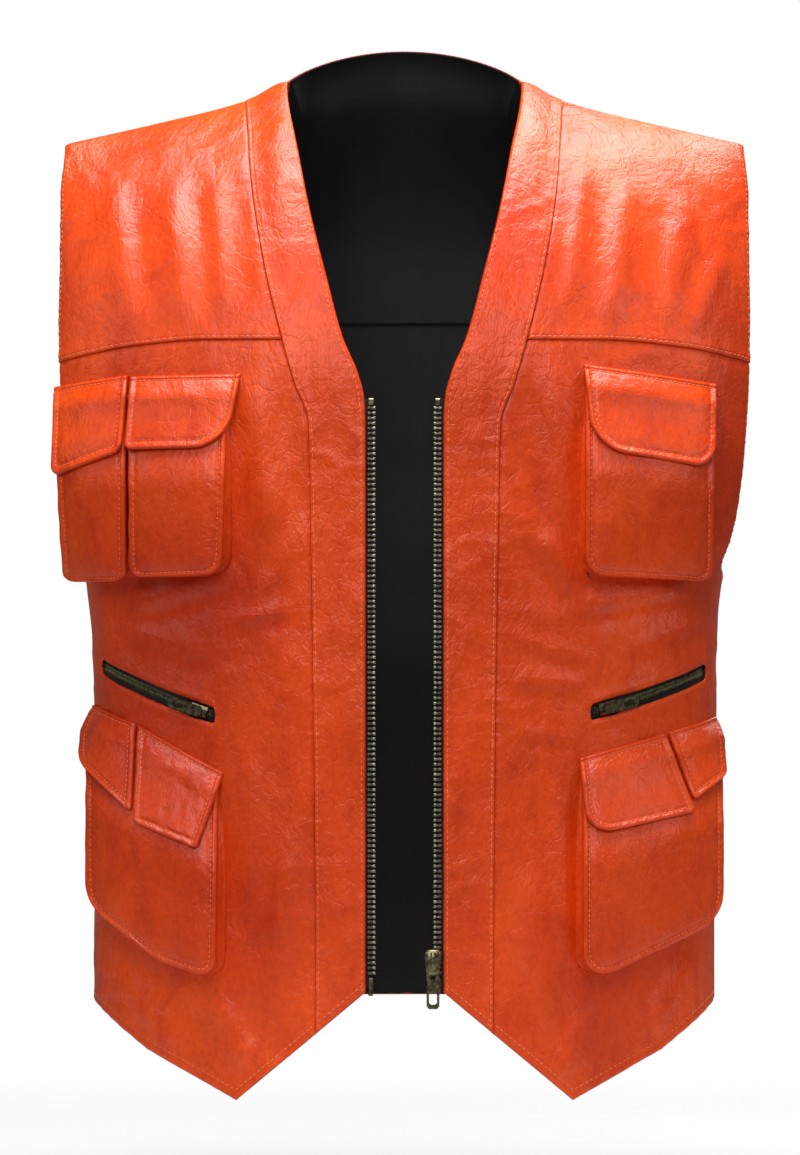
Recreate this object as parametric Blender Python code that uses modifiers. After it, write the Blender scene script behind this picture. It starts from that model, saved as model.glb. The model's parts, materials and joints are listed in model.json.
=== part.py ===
"""Blaze orange leather utility vest: V-neck, open separable zip, bellows pockets with flaps.

Frame, metres: X to the wearer's left, -Y is the vest's front, +Z up.  The origin is midway between
the two neck points, the spots where the shoulder seams meet the neckline.
Sizes below are in millimetres.  "drop" is a height, counted downwards from a level line 8 mm
under the neck points; the finished pieces are lowered so that the neck points come to z = 0.
"""
import math

import bmesh
import bpy
import numpy as np
from mathutils import Matrix, Vector

MM = 0.001

# ---- the body the vest is cut for (drop, value) ------------------------------------------------
HALF_WIDTH = [(-40, 250), (240, 250), (287, 237), (310, 228), (335, 217), (380, 213), (450, 212), (700, 212)]
FRONT_DEPTH = 122.0
BACK_DEPTH = [(0, 108), (150, 112), (250, 112), (333, 105), (400, 98), (500, 102), (640, 110)]
CHEST_DROP = 212.0        # the front reaches its full depth here
BLADE_DROP = 115.0        # the back reaches its full depth here
NECK_HALF = 80.0
NECK_LEVEL = -8.0         # the neck points stand this far above the level that drops are counted from
NECK_BACK_RISE, NECK_BACK_DEPTH = 20.0, 64.0
SHOULDER = [(0, -8), (80, -8), (108, 5), (170, 21), (232, 35), (260, 42)]

# ---- pattern lines, (drop, half width) or (half width, drop) -------------------------------------
NECK_EDGE = [(-8, 80), (47, 71), (87, 63), (127, 53), (172, 41), (193, 32), (212, 27), (230, 26), (640, 26)]
BAND_SEAM = [(-8, 110), (6, 108), (66, 103), (116, 95), (171, 82), (203, 73), (228, 64), (260, 63),
             (640, 59)]
YOKE_SEAM = [(0, 172), (135, 172), (185, 176), (227, 184), (250, 190)]
ARMHOLE = [(32, 232), (73, 235), (150, 235), (207, 234), (260, 230), (287, 226), (310, 220), (326, 215.5)]
ARMHOLE_BOTTOM = 335.0
FRONT_HEM = [(20, 604), (26, 609), (113, 682), (175, 649), (200, 630), (213, 620)]
BACK_HEM = [(0, 623), (110, 623), (213, 620)]
BACK_YOKE_DROP = 150.0
HEM_POINT = 113.0

# ---- layers ------------------------------------------------------------------------------------
LEATHER, CLOTH, TAPE = 1.8, 1.0, 0.8
SEAM_GAP, SIDE_GAP, YOKE_GAP = 0.35, 1.3, 1.4
FACING_DEPTH = 3.5

# ---- front zip ---------------------------------------------------------------------------------
ZIP_TIP, ZIP_BACK = 19.2, 24.2
ZIP_MID_Y = -118.8
ZIP_TOP, ZIP_BOTTOM = 217.0, 599.0
TOOTH_PITCH, TOOTH_THICK = 3.4, 3.0
SLIDER_TOP, SLIDER_LENGTH = 580.0, 18.0
PULL_LENGTH, PULL_WIDTH = 29.0, 8.6

# ---- pockets -----------------------------------------------------------------------------------
POCKET_DEPTH = 19.0
FLAP_CLEAR = 1.2
MOUTH = 16.0               # a pocket's mouth lies this far below its flap's top edge


def table(points, t):
    """Monotone cubic through hand-set points."""
    p = np.array(points, float)
    x, y = p[:, 0], p[:, 1]
    h, s = np.diff(x), np.diff(y) / np.diff(x)
    m = np.zeros(len(x))
    for i in range(1, len(x) - 1):
        if s[i - 1] * s[i] > 0:
            w1, w2 = 2 * h[i] + h[i - 1], h[i] + 2 * h[i - 1]
            m[i] = (w1 + w2) / (w1 / s[i - 1] + w2 / s[i])
    t = min(max(t, x[0]), x[-1])
    i = min(max(int(np.searchsorted(x, t)) - 1, 0), len(h) - 1)
    q = (t - x[i]) / h[i]
    return ((2 * q**3 - 3 * q**2 + 1) * y[i] + (q**3 - 2 * q**2 + q) * h[i] * m[i]
            + (3 * q**2 - 2 * q**3) * y[i + 1] + (q**3 - q**2) * h[i] * m[i + 1])


def straight(points, t):
    return float(np.interp(t, [p[0] for p in points], [p[1] for p in points]))


def half_width(drop):
    return table(HALF_WIDTH, drop)


def neck_top(x):
    """Drop of the back piece's top edge: the shoulder line, then the raised back neck."""
    x = abs(x)
    if x < NECK_HALF:
        return NECK_LEVEL - NECK_BACK_RISE * (1 - (x / NECK_HALF) ** 2) ** 0.75
    return table(SHOULDER, x)


def rise(q):
    """Roll over the shoulder: 0 on the ridge, 1 at the full depth."""
    q = min(max(q, 0.0), 1.0)
    return (1 - (1 - q) ** 2) ** 0.85


def surface(phi, drop, back):
    """Point of the outer surface; phi is 0 at the middle and 90 degrees at the side seam."""
    a = half_width(drop)
    x = a * math.sin(phi)
    roundness = max(1 - (x / a) ** 2, 0.0) ** 0.4
    if back:
        top = neck_top(x)
        edge = NECK_BACK_DEPTH * max(1 - (x / NECK_HALF) ** 2, 0.0) ** 0.5
        full = table(BACK_DEPTH, drop) * roundness
        y = edge + (full - edge) * rise((drop - top) / (BLADE_DROP - top))
    else:
        top = table(SHOULDER, abs(x))
        y = -FRONT_DEPTH * roundness * rise((drop - top) / (CHEST_DROP - top))
    return Vector((x, y, -drop))


def normal(phi, drop, back):
    """Outward unit normal of the outer surface."""
    limit, step = math.radians(89.7), math.radians(0.4)
    p = min(max(phi, -limit + step), limit - step)
    du = surface(p + step, drop, back) - surface(p - step, drop, back)
    dv = surface(p, drop + 1.5, back) - surface(p, drop - 0.5, back)
    n = dv.cross(du) if not back else du.cross(dv)
    return n.normalized()


def on_body(phi, drop, out, back=False):
    return surface(phi, drop, back) + normal(phi, drop, back) * out


def phi_at(x, drop):
    return math.asin(min(max(x / half_width(drop), -1.0), 1.0))


def phi_seen(x, drop, out):
    """Angle of the spot whose point `out` above the leather lies at half width x."""
    low, high = 0.0, math.radians(89)
    for _ in range(30):
        mid = (low + high) / 2
        if on_body(mid, drop, out).x < x:
            low = mid
        else:
            high = mid
    return low


def front_side(drop):
    """Angle of the front's outer edge: the armhole, then the side seam."""
    if drop < ARMHOLE_BOTTOM - 9:
        return phi_at(table(ARMHOLE, drop), drop)
    start = phi_at(ARMHOLE[-1][1], ARMHOLE_BOTTOM - 9)
    q = min((drop - (ARMHOLE_BOTTOM - 9)) / 9, 1.0)
    return start + (math.radians(90) - start) * math.sin(q * math.pi / 2)


# ---- building ----------------------------------------------------------------------------------
collection = None
cutters = None


def material(name, colour, rough, metal=0.0):
    m = bpy.data.materials.new(name)
    m.use_nodes = True
    bsdf = m.node_tree.nodes["Principled BSDF"]
    bsdf.inputs["Base Color"].default_value = (*colour, 1)
    bsdf.inputs["Roughness"].default_value = rough
    bsdf.inputs["Metallic"].default_value = metal
    return m


def add(name, mesh, mat, where=None):
    obj = bpy.data.objects.new(name, mesh)
    mesh.materials.append(mat)
    (where or collection).objects.link(obj)
    return obj


def grid_object(name, points, mat, thickness, flip=False):
    """Sheet through a rows x columns array of points; its thickness goes inward."""
    rows, cols = len(points), len(points[0])
    bm = bmesh.new()
    bmesh.ops.create_grid(bm, x_segments=cols - 1, y_segments=rows - 1, size=1)
    bm.verts.ensure_lookup_table()
    for i, vert in enumerate(bm.verts):
        vert.co = points[i // cols][i % cols] * MM
    if flip:
        bmesh.ops.reverse_faces(bm, faces=bm.faces)
    mesh = bpy.data.meshes.new(name)
    bm.to_mesh(mesh)
    bm.free()
    mesh.shade_smooth()
    obj = add(name, mesh, mat)
    solid = obj.modifiers.new("thickness", "SOLIDIFY")
    solid.thickness = thickness * MM
    solid.offset = -1
    solid.use_even_offset = False
    return obj


def lerp(a, b, t):
    return a + (b - a) * t


def patch(name, side, mat, thickness, edges, columns, rows, out=0.0, by_x=False, back=False,
          shift=(0, 0, 0)):
    """Sheet on the body between four edges.

    edges = inner(drop), outer(drop), top(x), bottom(x).  Inner and outer give angles, or half
    widths if by_x.  out is a distance above the leather, or a function of (u, v, x, drop), and
    shift moves the whole sheet.
    """
    inner, outer, top, bottom = edges
    points = []
    for v in rows:
        line = []
        for u in columns:
            drop = lerp(top(100), bottom(100), v)
            for _ in range(12):
                place = lerp(inner(drop), outer(drop), u)
                x = place if by_x else half_width(drop) * math.sin(place)
                drop = lerp(top(abs(x)), bottom(abs(x)), v)
            phi = phi_at(x, drop)
            lift = out(u, v, x, drop) if callable(out) else out
            p = on_body(phi, drop, lift, back) + Vector(shift)
            line.append(Vector((p.x * side, p.y, p.z)))
        points.append(line)
    return grid_object(name, points, mat, thickness, flip=(side > 0) != back)


def even(n):
    return [i / n for i in range(n + 1)]


def around(p, q, n1, n2, n3=0):
    """Column positions with a line exactly at p (and q)."""
    first = [p * i / n1 for i in range(n1 + 1)]
    second = [p + ((q if n3 else 1) - p) * (i + 1) / n2 for i in range(n2)]
    third = [q + (1 - q) * (i + 1) / n3 for i in range(n3)]
    return first + second + third


def bar_sweep(name, path, section, mat, where=None, closed=True):
    """Constant section swept along frames (origin, across, out); section is in millimetres."""
    bm = bmesh.new()
    rings = []
    for origin, across, out in path:
        rings.append([bm.verts.new((origin + across * a + out * b) * MM) for a, b in section])
    n = len(section)
    for one, two in zip(rings, rings[1:]):
        for i in range(n):
            bm.faces.new((one[i], one[(i + 1) % n], two[(i + 1) % n], two[i]))
    bm.faces.new(rings[0][::-1])
    bm.faces.new(rings[-1])
    bmesh.ops.recalc_face_normals(bm, faces=bm.faces)
    mesh = bpy.data.meshes.new(name)
    bm.to_mesh(mesh)
    bm.free()
    return add(name, mesh, mat, where)


def block(name, low, high, mat, where=None, bevel=0.0):
    bm = bmesh.new()
    bmesh.ops.create_cube(bm, size=1)
    low, high = Vector(low), Vector(high)
    for vert in bm.verts:
        vert.co = Vector(lerp(low[i], high[i], vert.co[i] + 0.5) for i in range(3)) * MM
    mesh = bpy.data.meshes.new(name)
    bm.to_mesh(mesh)
    bm.free()
    obj = add(name, mesh, mat, where)
    if bevel:
        mod = obj.modifiers.new("edges", "BEVEL")
        mod.width = bevel * MM
        mod.segments = 1
    return obj


def flat_solid(name, outlines, depth, mat, place=None, where=None):
    """2D outline(s) extruded; the first is the outer edge and the others are holes."""
    curve = bpy.data.curves.new(name, "CURVE")
    curve.dimensions = "2D"
    curve.fill_mode = "BOTH"
    curve.extrude = depth * MM / 2
    for line in outlines:
        spline = curve.splines.new("POLY")
        spline.points.add(len(line) - 1)
        for point, (x, y) in zip(spline.points, line):
            point.co = (x * MM, y * MM, 0, 1)
        spline.use_cyclic_u = True
    obj = bpy.data.objects.new(name, curve)
    curve.materials.append(mat)
    (where or collection).objects.link(obj)
    if place is not None:
        obj.matrix_world = place
    return obj


def boolean(target, tool, how):
    tool.hide_render = True
    tool.display_type = "WIRE"
    mod = target.modifiers.new(tool.name, "BOOLEAN")
    mod.operation = how
    mod.solver = "EXACT"
    mod.object = tool


def rounded(w, h, r, n=3):
    """Corner-rounded rectangle centred on the origin."""
    line = []
    for cx, cy, start in ((w / 2 - r, h / 2 - r, 0), (-w / 2 + r, h / 2 - r, 90),
                          (-w / 2 + r, -h / 2 + r, 180), (w / 2 - r, -h / 2 + r, 270)):
        for i in range(n + 1):
            t = math.radians(start + 90 * i / n)
            line.append((cx + r * math.cos(t), cy + r * math.sin(t)))
    return line


# ---- shell -------------------------------------------------------------------------------------
def build_back(m):
    top = lambda x: neck_top(x) + 0.9
    outer = lambda d: table(ARMHOLE, d)
    inner = lambda d: -outer(d)
    columns = around(0.33, 0.67, 5, 6, 5)
    place = [lerp(-1, 1, c) for c in columns]
    # a column line runs down from each neck point
    place = [s * NECK_HALF / 0.34 / 232 if abs(abs(s) - 0.34) < 1e-6 else s for s in place]
    columns = [(s + 1) / 2 for s in place]
    rows = [(i / 7) ** 1.8 for i in range(8)]
    patch("back_yoke", 1, m["leather"], LEATHER,
          (inner, outer, top, lambda x: BACK_YOKE_DROP), columns, rows, by_x=True, back=True)

    edge = lambda d: front_side(d) - (math.radians(0.22) if d > ARMHOLE_BOTTOM - 9 else 0)
    rows = [0, .1, .2, .3, .345, .38, .46, .58, .7, .85, 1]
    patch("back_panel", 1, m["leather"], LEATHER,
          (lambda d: -edge(d), edge, lambda x: BACK_YOKE_DROP + SEAM_GAP,
           lambda x: straight(BACK_HEM, x)), even(14), rows, back=True)
    patch("back_lining", 1, m["lining"], CLOTH,
          (lambda d: -edge(d) + .06, lambda d: edge(d) - .06, lambda x: BACK_YOKE_DROP + 5,
           lambda x: straight(BACK_HEM, x) - 9), even(14), rows, out=-FACING_DEPTH - 1, back=True)
    rows = [(i / 7) ** 1.8 for i in range(8)]
    patch("back_yoke_lining", 1, m["lining"], CLOTH,
          (lambda d: inner(d) + 5, lambda d: outer(d) - 5, lambda x: neck_top(x) + 15,
           lambda x: BACK_YOKE_DROP - 9), columns, rows, by_x=True, back=True, shift=(0, -6, -6))


def build_shoulder(tag, side, m):
    """Yoke, upper neck band and their lining: these stay on the shoulders."""
    top = lambda x: table(SHOULDER, x) + 0.9
    low = lambda x: table(YOKE_SEAM, x)
    rows = [(i / 7) ** 1.8 for i in range(8)]
    arm = lambda d: table(ARMHOLE, d)
    seam = lambda d: table(BAND_SEAM, d)
    neck = lambda d: table(NECK_EDGE, d)
    patch(f"front_yoke_{tag}", side, m["leather"], LEATHER,
          (lambda d: seam(d) + SEAM_GAP, arm, top, low), even(7), rows, by_x=True)
    patch(f"neck_band_{tag}", side, m["leather"], LEATHER,
          (neck, seam, top, low), even(3), rows, by_x=True)
    rows = [(i / 6) ** 1.8 for i in range(7)]
    patch(f"yoke_lining_{tag}", side, m["lining"], CLOTH,
          (lambda d: neck(d) + 3, lambda d: arm(d) - 5, lambda x: table(SHOULDER, x) + 8,
           lambda x: low(x) - 5), even(8), rows, by_x=True, shift=(0, 4, -3.5))


def build_front(tag, side, m):
    """Panel, band, facing and lining of one front."""
    top = lambda x: table(YOKE_SEAM, x) + YOKE_GAP
    hem = lambda x: straight(FRONT_HEM, x)
    edge = lambda d: front_side(d) - (math.radians(0.22) if d > ARMHOLE_BOTTOM - 9 else 0)
    seam = lambda d: phi_at(table(BAND_SEAM, d) + SEAM_GAP, d)
    point = math.asin(HEM_POINT / half_width(600))
    base = lambda d: seam(d)
    span = lambda d: edge(d) - seam(d)
    share = (point - seam(650)) / (edge(600) - seam(650))
    columns = around(share, 0, 3, 8)
    rows = [0, .04, .08, .12, .18, .255, .295, .33, .38, .46, .53, .6, .7, .8, .9, 1]
    panel = patch(f"front_panel_{tag}", side, m["leather"], LEATHER,
                  (base, lambda d: base(d) + span(d), top, hem), columns, rows)
    neck = lambda d: table(NECK_EDGE, d)
    patch(f"front_band_{tag}", side, m["leather"], LEATHER,
          (neck, lambda d: table(BAND_SEAM, d), top, hem), even(3), rows, by_x=True)
    patch(f"front_facing_{tag}", side, m["leather"], CLOTH,
          (lambda d: neck(d) + 2, lambda d: table(BAND_SEAM, d) - 2, lambda x: top(x) + 1,
           lambda x: hem(x) - 5), even(2), rows, out=-FACING_DEPTH, by_x=True)

    def sag(u, v, x, d):
        inside = min(u, 1 - u) > 1e-6 and min(v, 1 - v) > 1e-6
        return -FACING_DEPTH - 1 - (13 * (math.sin(math.pi * u) * math.sin(math.pi * v)) ** 0.3 if inside else 0)
    patch(f"front_lining_{tag}", side, m["lining"], CLOTH,
          (lambda d: seam(d), lambda d: edge(d) - .07, lambda x: top(x) + 1,
           lambda x: hem(x) - 9), columns, [0, .12, .255, .33, .46, .6, .8, 1], out=sag)
    return panel


# ---- front zip ---------------------------------------------------------------------------------
def build_zip(tag, side, m):
    rows = even(8)
    patch(f"zip_tape_{tag}", side, m["tape"], TAPE,
          (lambda d: ZIP_BACK + 0.3, lambda d: 44.0, lambda x: ZIP_TOP - 3,
           lambda x: ZIP_BOTTOM + 9), [0, .5, 1], rows, out=-(LEATHER + 0.35), by_x=True)
    line = [(ZIP_BACK, -ZIP_TOP)]
    drop = ZIP_TOP
    while drop + TOOTH_PITCH <= ZIP_BOTTOM:
        line += [(ZIP_TIP + 3.2, -drop - 0.3), (ZIP_TIP, -drop - 1.2), (ZIP_TIP, -drop - 2.2)]
        drop += TOOTH_PITCH
    line += [(ZIP_TIP + 3.2, -drop), (ZIP_BACK, -drop)]
    across, up = Vector((side, 0, 0)), Vector((0, 0, 1))
    path = [(Vector((0, ZIP_MID_Y + s * TOOTH_THICK / 2, 0)), across, up) for s in (-1, 1)]
    bar_sweep(f"zip_teeth_{tag}", path, line, m["metal"])
    x0, x1 = ZIP_TIP + 1.2, ZIP_BACK
    block(f"zip_top_stop_{tag}", (min(x0 * side, x1 * side), ZIP_MID_Y - 1.6, -ZIP_TOP + 0.3),
          (max(x0 * side, x1 * side), ZIP_MID_Y + 1.6, -ZIP_TOP + 4.6), m["metal"], bevel=0.5)


def build_zip_ends(m):
    y = ZIP_MID_Y
    block("zip_box_left", (15.4, y - 2.6, -ZIP_BOTTOM - 10.5), (24.2, y + 2.6, -ZIP_BOTTOM - 0.5),
          m["metal"], bevel=0.7)
    block("zip_pin_right", (-24.2, y - 1.3, -ZIP_BOTTOM - 12.5), (-21.0, y + 1.3, -ZIP_BOTTOM - 0.5),
          m["metal"], bevel=0.5)


def build_front_slider(m):
    """Two plates joined by the wedge that parts the teeth, with a lug for the pull."""
    x0, x1, y = 12.4, 25.6, ZIP_MID_Y
    z0, z1 = -SLIDER_TOP - SLIDER_LENGTH, -SLIDER_TOP
    body = block("zip_slider_left", (x0, y - 3.3, z0), (x1, y + 3.3, z1), m["metal"])
    channel = block("cut_channel", (x0 + 1.0, y - 1.9, z0 - 1), (x1 - 1.2, y + 1.9, z1 + 1),
                    m["metal"], cutters)
    slot = block("cut_slot", (x0 - 1, y - 0.85, z0 - 1.5), (x1 + 1, y + 0.85, z1 + 1.5),
                 m["metal"], cutters)
    wedge = block("add_wedge", (14.4, y - 2.6, z1 - 6.5), (18.4, y + 2.6, z1 - 0.4), m["metal"], cutters)
    boolean(body, channel, "DIFFERENCE")
    boolean(body, slot, "DIFFERENCE")
    boolean(body, wedge, "UNION")
    arch = block("add_arch", (18.0, y - 7.4, z1 - 15.4), (20.0, y - 3.0, z1 - 3.6), m["metal"], cutters)
    eye = block("cut_eye", (17.0, y - 6.2, z1 - 13.6), (21.0, y - 3.4, z1 - 5.4), m["metal"], cutters)
    boolean(body, arch, "UNION")
    boolean(body, eye, "DIFFERENCE")
    pivot = Vector((19.0, y - 4.75, z1 - 12.0))
    half = PULL_WIDTH / 2
    line = [(-half, -1), (half, -1), (half, 8), (half - 0.8, 11), (half, 14), (half, PULL_LENGTH - 3),
            (half - 1.5, PULL_LENGTH - 1), (1.5 - half, PULL_LENGTH - 1), (-half, PULL_LENGTH - 3),
            (-half, 14), (0.8 - half, 11), (-half, 8)]
    eye = [(px, py + 5.7) for px, py in rounded(3.4, 9.6, 0.8, 1)]
    window = [(px, py + 19.6) for px, py in rounded(PULL_WIDTH - 3.4, 11.0, 1.2, 1)]
    turn = Matrix(((1, 0, 0), (0, 0, 1), (0, -1, 0))).to_4x4()
    turn.translation = pivot * MM
    flat_solid("zip_pull_left", [line, eye[::-1], window[::-1]], 1.4, m["metal"], turn)


# ---- hand pocket zips --------------------------------------------------------------------------
HAND_ZIP = [((130, 421), (202, 397)), ((132, 423), (203, 394))]    # inner and outer end


def arc_frame(side, ends):
    """Circle just under the leather from end to end, in a plane square to the leather halfway."""
    (x0, d0), (x1, d1) = ends
    p = [on_body(phi_at(x, d), d, -2.0) for x, d in ends]
    phi = (phi_at(x0, d0) + phi_at(x1, d1)) / 2
    mid = on_body(phi, (d0 + d1) / 2, -2.0)
    plane = (p[1] - p[0]).cross(normal(phi, (d0 + d1) / 2, False))
    mid.z = p[0].z - (plane.x * (mid.x - p[0].x) + plane.y * (mid.y - p[0].y)) / plane.z
    p = [Vector((q.x * side, q.y, q.z)) for q in (p[0], mid, p[1])]
    a, b = p[1] - p[0], p[2] - p[0]
    axis = a.cross(b)
    to = (axis.cross(a) * b.length_squared + b.cross(axis) * a.length_squared) / (2 * axis.length_squared)
    centre = p[0] + to
    axis.normalize()
    start = (p[0] - centre)
    sweep = start.angle(p[2] - centre)
    if start.cross(p[2] - centre).dot(axis) < 0:
        sweep = -sweep
    return centre, start.length, axis, start.normalized(), sweep


def arc_path(frame, a0, a1, n):
    centre, radius, axis, start, sweep = frame
    path = []
    for i in range(n + 1):
        ray = Matrix.Rotation(lerp(a0, a1, i / n), 3, axis) @ start
        path.append((centre + ray * radius, axis.copy(), ray))
    return path


def build_hand_zip(tag, side, ends, panel, m):
    frame = arc_frame(side, ends)
    centre, radius, axis, start, sweep = frame
    more = 5.5 / radius * (1 if sweep > 0 else -1)
    cutter = bar_sweep(f"cut_mouth_{tag}", arc_path(frame, -more, sweep + more, 12),
                       [(-5.2, -9), (5.2, -9), (5.2, 9), (-5.2, 9)], m["leather"], cutters)
    boolean(panel, cutter, "DIFFERENCE")
    long = more * 1.5
    bar_sweep(f"hand_zip_tape_{tag}", arc_path(frame, -long, sweep + long, 8),
              [(-10, -4.2), (10, -4.2), (10, -3.4), (-10, -3.4)], m["tape"])
    bar_sweep(f"hand_zip_chain_{tag}", arc_path(frame, -more * .5, sweep + more * .5, 16),
              [(-2.3, -3.1), (2.3, -3.1), (2.3, -0.1), (-2.3, -0.1)], m["metal"])
    near, far = more * 0.1, more * 2.3
    ride = arc_path(frame, near, far, 2)
    bar_sweep(f"hand_zip_slider_{tag}", ride,
              [(-4, -1.9), (-2.8, -1.9), (-2.8, 0.3), (2.8, 0.3), (2.8, -1.9), (4, -1.9), (4, 1.8),
               (2.0, 3.4), (-2.0, 3.4), (-4, 1.8)], m["metal"])
    origin, across, ray = ride[1]
    along = across.cross(ray) * (1 if sweep > 0 else -1)
    pivot = origin + ray * 4.6 - along * 2.0
    # the puller lies along the mouth, pointing to the side seam
    plate = [(-3.3, -0.8), (3.3, -0.8), (3.8, 10), (3.8, 21), (2.4, 23.5), (-2.4, 23.5), (-3.8, 21),
             (-3.8, 10)]
    window = [(p[0], p[1] + 16.5) for p in rounded(3.6, 7.5, 1.0, 2)]
    side_way = along.cross(ray)
    turn = Matrix((side_way, along, side_way.cross(along))).transposed().to_4x4()
    turn.translation = pivot * MM
    flat_solid(f"hand_zip_pull_{tag}", [plate, window[::-1]], 1.6, m["metal"], turn)

    low = lambda x: straight([(100, 405), (210, 370)], x)

    def depth(u, v, x, d):
        rim = min(u * 10, (1 - u) * 8, v * 16, (1 - v) * 12)
        return -(LEATHER + 0.5) - 8.5 * min(rim, 1.0)
    patch(f"hand_pocket_bag_{tag}", side, m["lining"], CLOTH,
          (lambda d: phi_at(104, 450), lambda d: phi_at(210, 450), low, lambda x: low(x) + 150),
          [0, .1, .3, .5, .7, .9, 1], [0, .065, .4, .65, .9, 1], out=depth)
    return frame, pivot, along, near, far


# ---- bellows pockets ---------------------------------------------------------------------------
def u_path(left, right, top, bottom, r, n=4):
    """Pocket edge as (x, drop) from the top inner corner, round the bottom, to the top outer one."""
    line = []
    x0, x1 = left(top(left(0))), right(top(right(0)))
    d0, d1 = top(x0) , top(x1)
    b0 = bottom(left(bottom(x0))) - r
    b1 = bottom(right(bottom(x1))) - r
    for i in range(n):
        d = lerp(d0, b0, i / n)
        line.append((left(d), d))
    for i in range(4):
        t = math.radians(90 * i / 3)
        x = left(b0) + r * (1 - math.cos(t))
        line.append((x, lerp(b0, bottom(x), math.sin(t))))
    xa, xb = left(b0) + r, right(b1) - r
    for i in range(1, n):
        x = lerp(xa, xb, i / n)
        line.append((x, bottom(x)))
    for i in range(4):
        t = math.radians(90 * (3 - i) / 3)
        x = right(b1) - r * (1 - math.cos(t))
        line.append((x, lerp(b1, bottom(x), math.sin(t))))
    for i in range(1, n + 1):
        d = lerp(b1, d1, i / n)
        line.append((right(d), d))
    return line


def build_pocket(name, side, m, left, right, top, bottom, r=13.0):
    """Face and bellows gusset.  The four edges are where the face's own edge lies."""
    out = POCKET_DEPTH + 0.5
    path = u_path(left, right, top, bottom, r)
    centre = Vector((sum(p[0] for p in path) / len(path), sum(p[1] for p in path) / len(path)))
    # gusset: three levels with a fold pressed inward between them
    rows = []
    for level, inset in ((1.3, 0.0), (POCKET_DEPTH * 0.5, 3.0), (POCKET_DEPTH - 1.3, 0.0)):
        line = []
        for i, (x, d) in enumerate(path):
            a, b = path[max(i - 1, 0)], path[min(i + 1, len(path) - 1)]
            t = Vector((b[0] - a[0], b[1] - a[1])).normalized()
            n = Vector((t.y, -t.x))
            if n.dot(centre - Vector((x, d))) < 0:
                n = -n
            xx, dd = x + n.x * (inset + 0.4), d + n.y * (inset + 0.4)
            p = on_body(phi_seen(xx, dd, out), dd, level)
            line.append(Vector((p.x * side, p.y, p.z)))
        rows.append(line)
    gusset = grid_object(f"{name}_gusset", rows, m["leather"], 1.3, flip=side < 0)
    gusset.modifiers["thickness"].offset = -1

    # face: rows follow the same outline
    r2 = r

    def low(x, d):
        x0, x1 = left(d), right(d)
        k = min(x - x0, x1 - x)
        return 0.0 if k >= r2 else r2 - math.sqrt(max(r2 * r2 - (r2 - k) ** 2, 0.0))
    points = []
    for v in [0, .2, .4, .6, .8, 1]:
        line = []
        for u in [0, .06, .18, .39, .61, .82, .94, 1]:
            d = 300.0
            for _ in range(10):
                x = lerp(left(d), right(d), u)
                end = bottom(x) - low(x, min(d, bottom(x) - r2))
                d = lerp(top(x), end, v)
            p = on_body(phi_seen(x, d, out), d, POCKET_DEPTH + 2.1)
            line.append(Vector((p.x * side, p.y, p.z)))
        points.append(line)
    grid_object(f"{name}_face", points, m["leather"], 1.7, flip=side > 0)


def build_flap(name, side, m, x0, x1, top, height, r=14.0, corner=(1, 1)):
    """Rigid flap.  Its top edge is straight, on the hinge line; below, it lies over the face."""
    out = POCKET_DEPTH + 2.1 + FLAP_CLEAR + 1.6
    a = on_body(phi_seen(x0, top(x0), out), top(x0), 0)
    b = on_body(phi_seen(x1, top(x1), out), top(x1), 0)
    pa, pb = phi_seen(x0, top(x0), out), phi_seen(x1, top(x1), out)
    mid = on_body((pa + pb) / 2, (top(x0) + top(x1)) / 2, 0)
    lift = (mid - (a + b) / 2).length + 2.4
    a = on_body(pa, top(x0), lift)
    b = on_body(pb, top(x1), lift)
    points = []
    width = x1 - x0
    for v, level in ((0, None), (.12, .62), (.24, 1), (.42, 1), (.62, 1), (.84, 1), (1, 1)):
        line = []
        for u in [0, .07, .2, .4, .6, .8, .93, 1]:
            x = lerp(x0, x1, u)
            k = min(x - x0 if corner[0] else 99, x1 - x if corner[1] else 99)
            cut = 0.0 if k >= r else r - math.sqrt(max(r * r - (r - k) ** 2, 0.0))
            d = top(x) + (height(x) - cut) * v
            if level is None:
                p = a.lerp(b, u)
            else:
                p = on_body(phi_seen(x, d, out), d, lerp(lift, out, level))
            line.append(Vector((p.x * side, p.y, p.z)))
        points.append(line)
    obj = grid_object(f"{name}_flap", points, m["leather"], 1.6, flip=side > 0)
    flip = Vector((side, 1, 1))
    return obj, a * flip, b * flip


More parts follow.
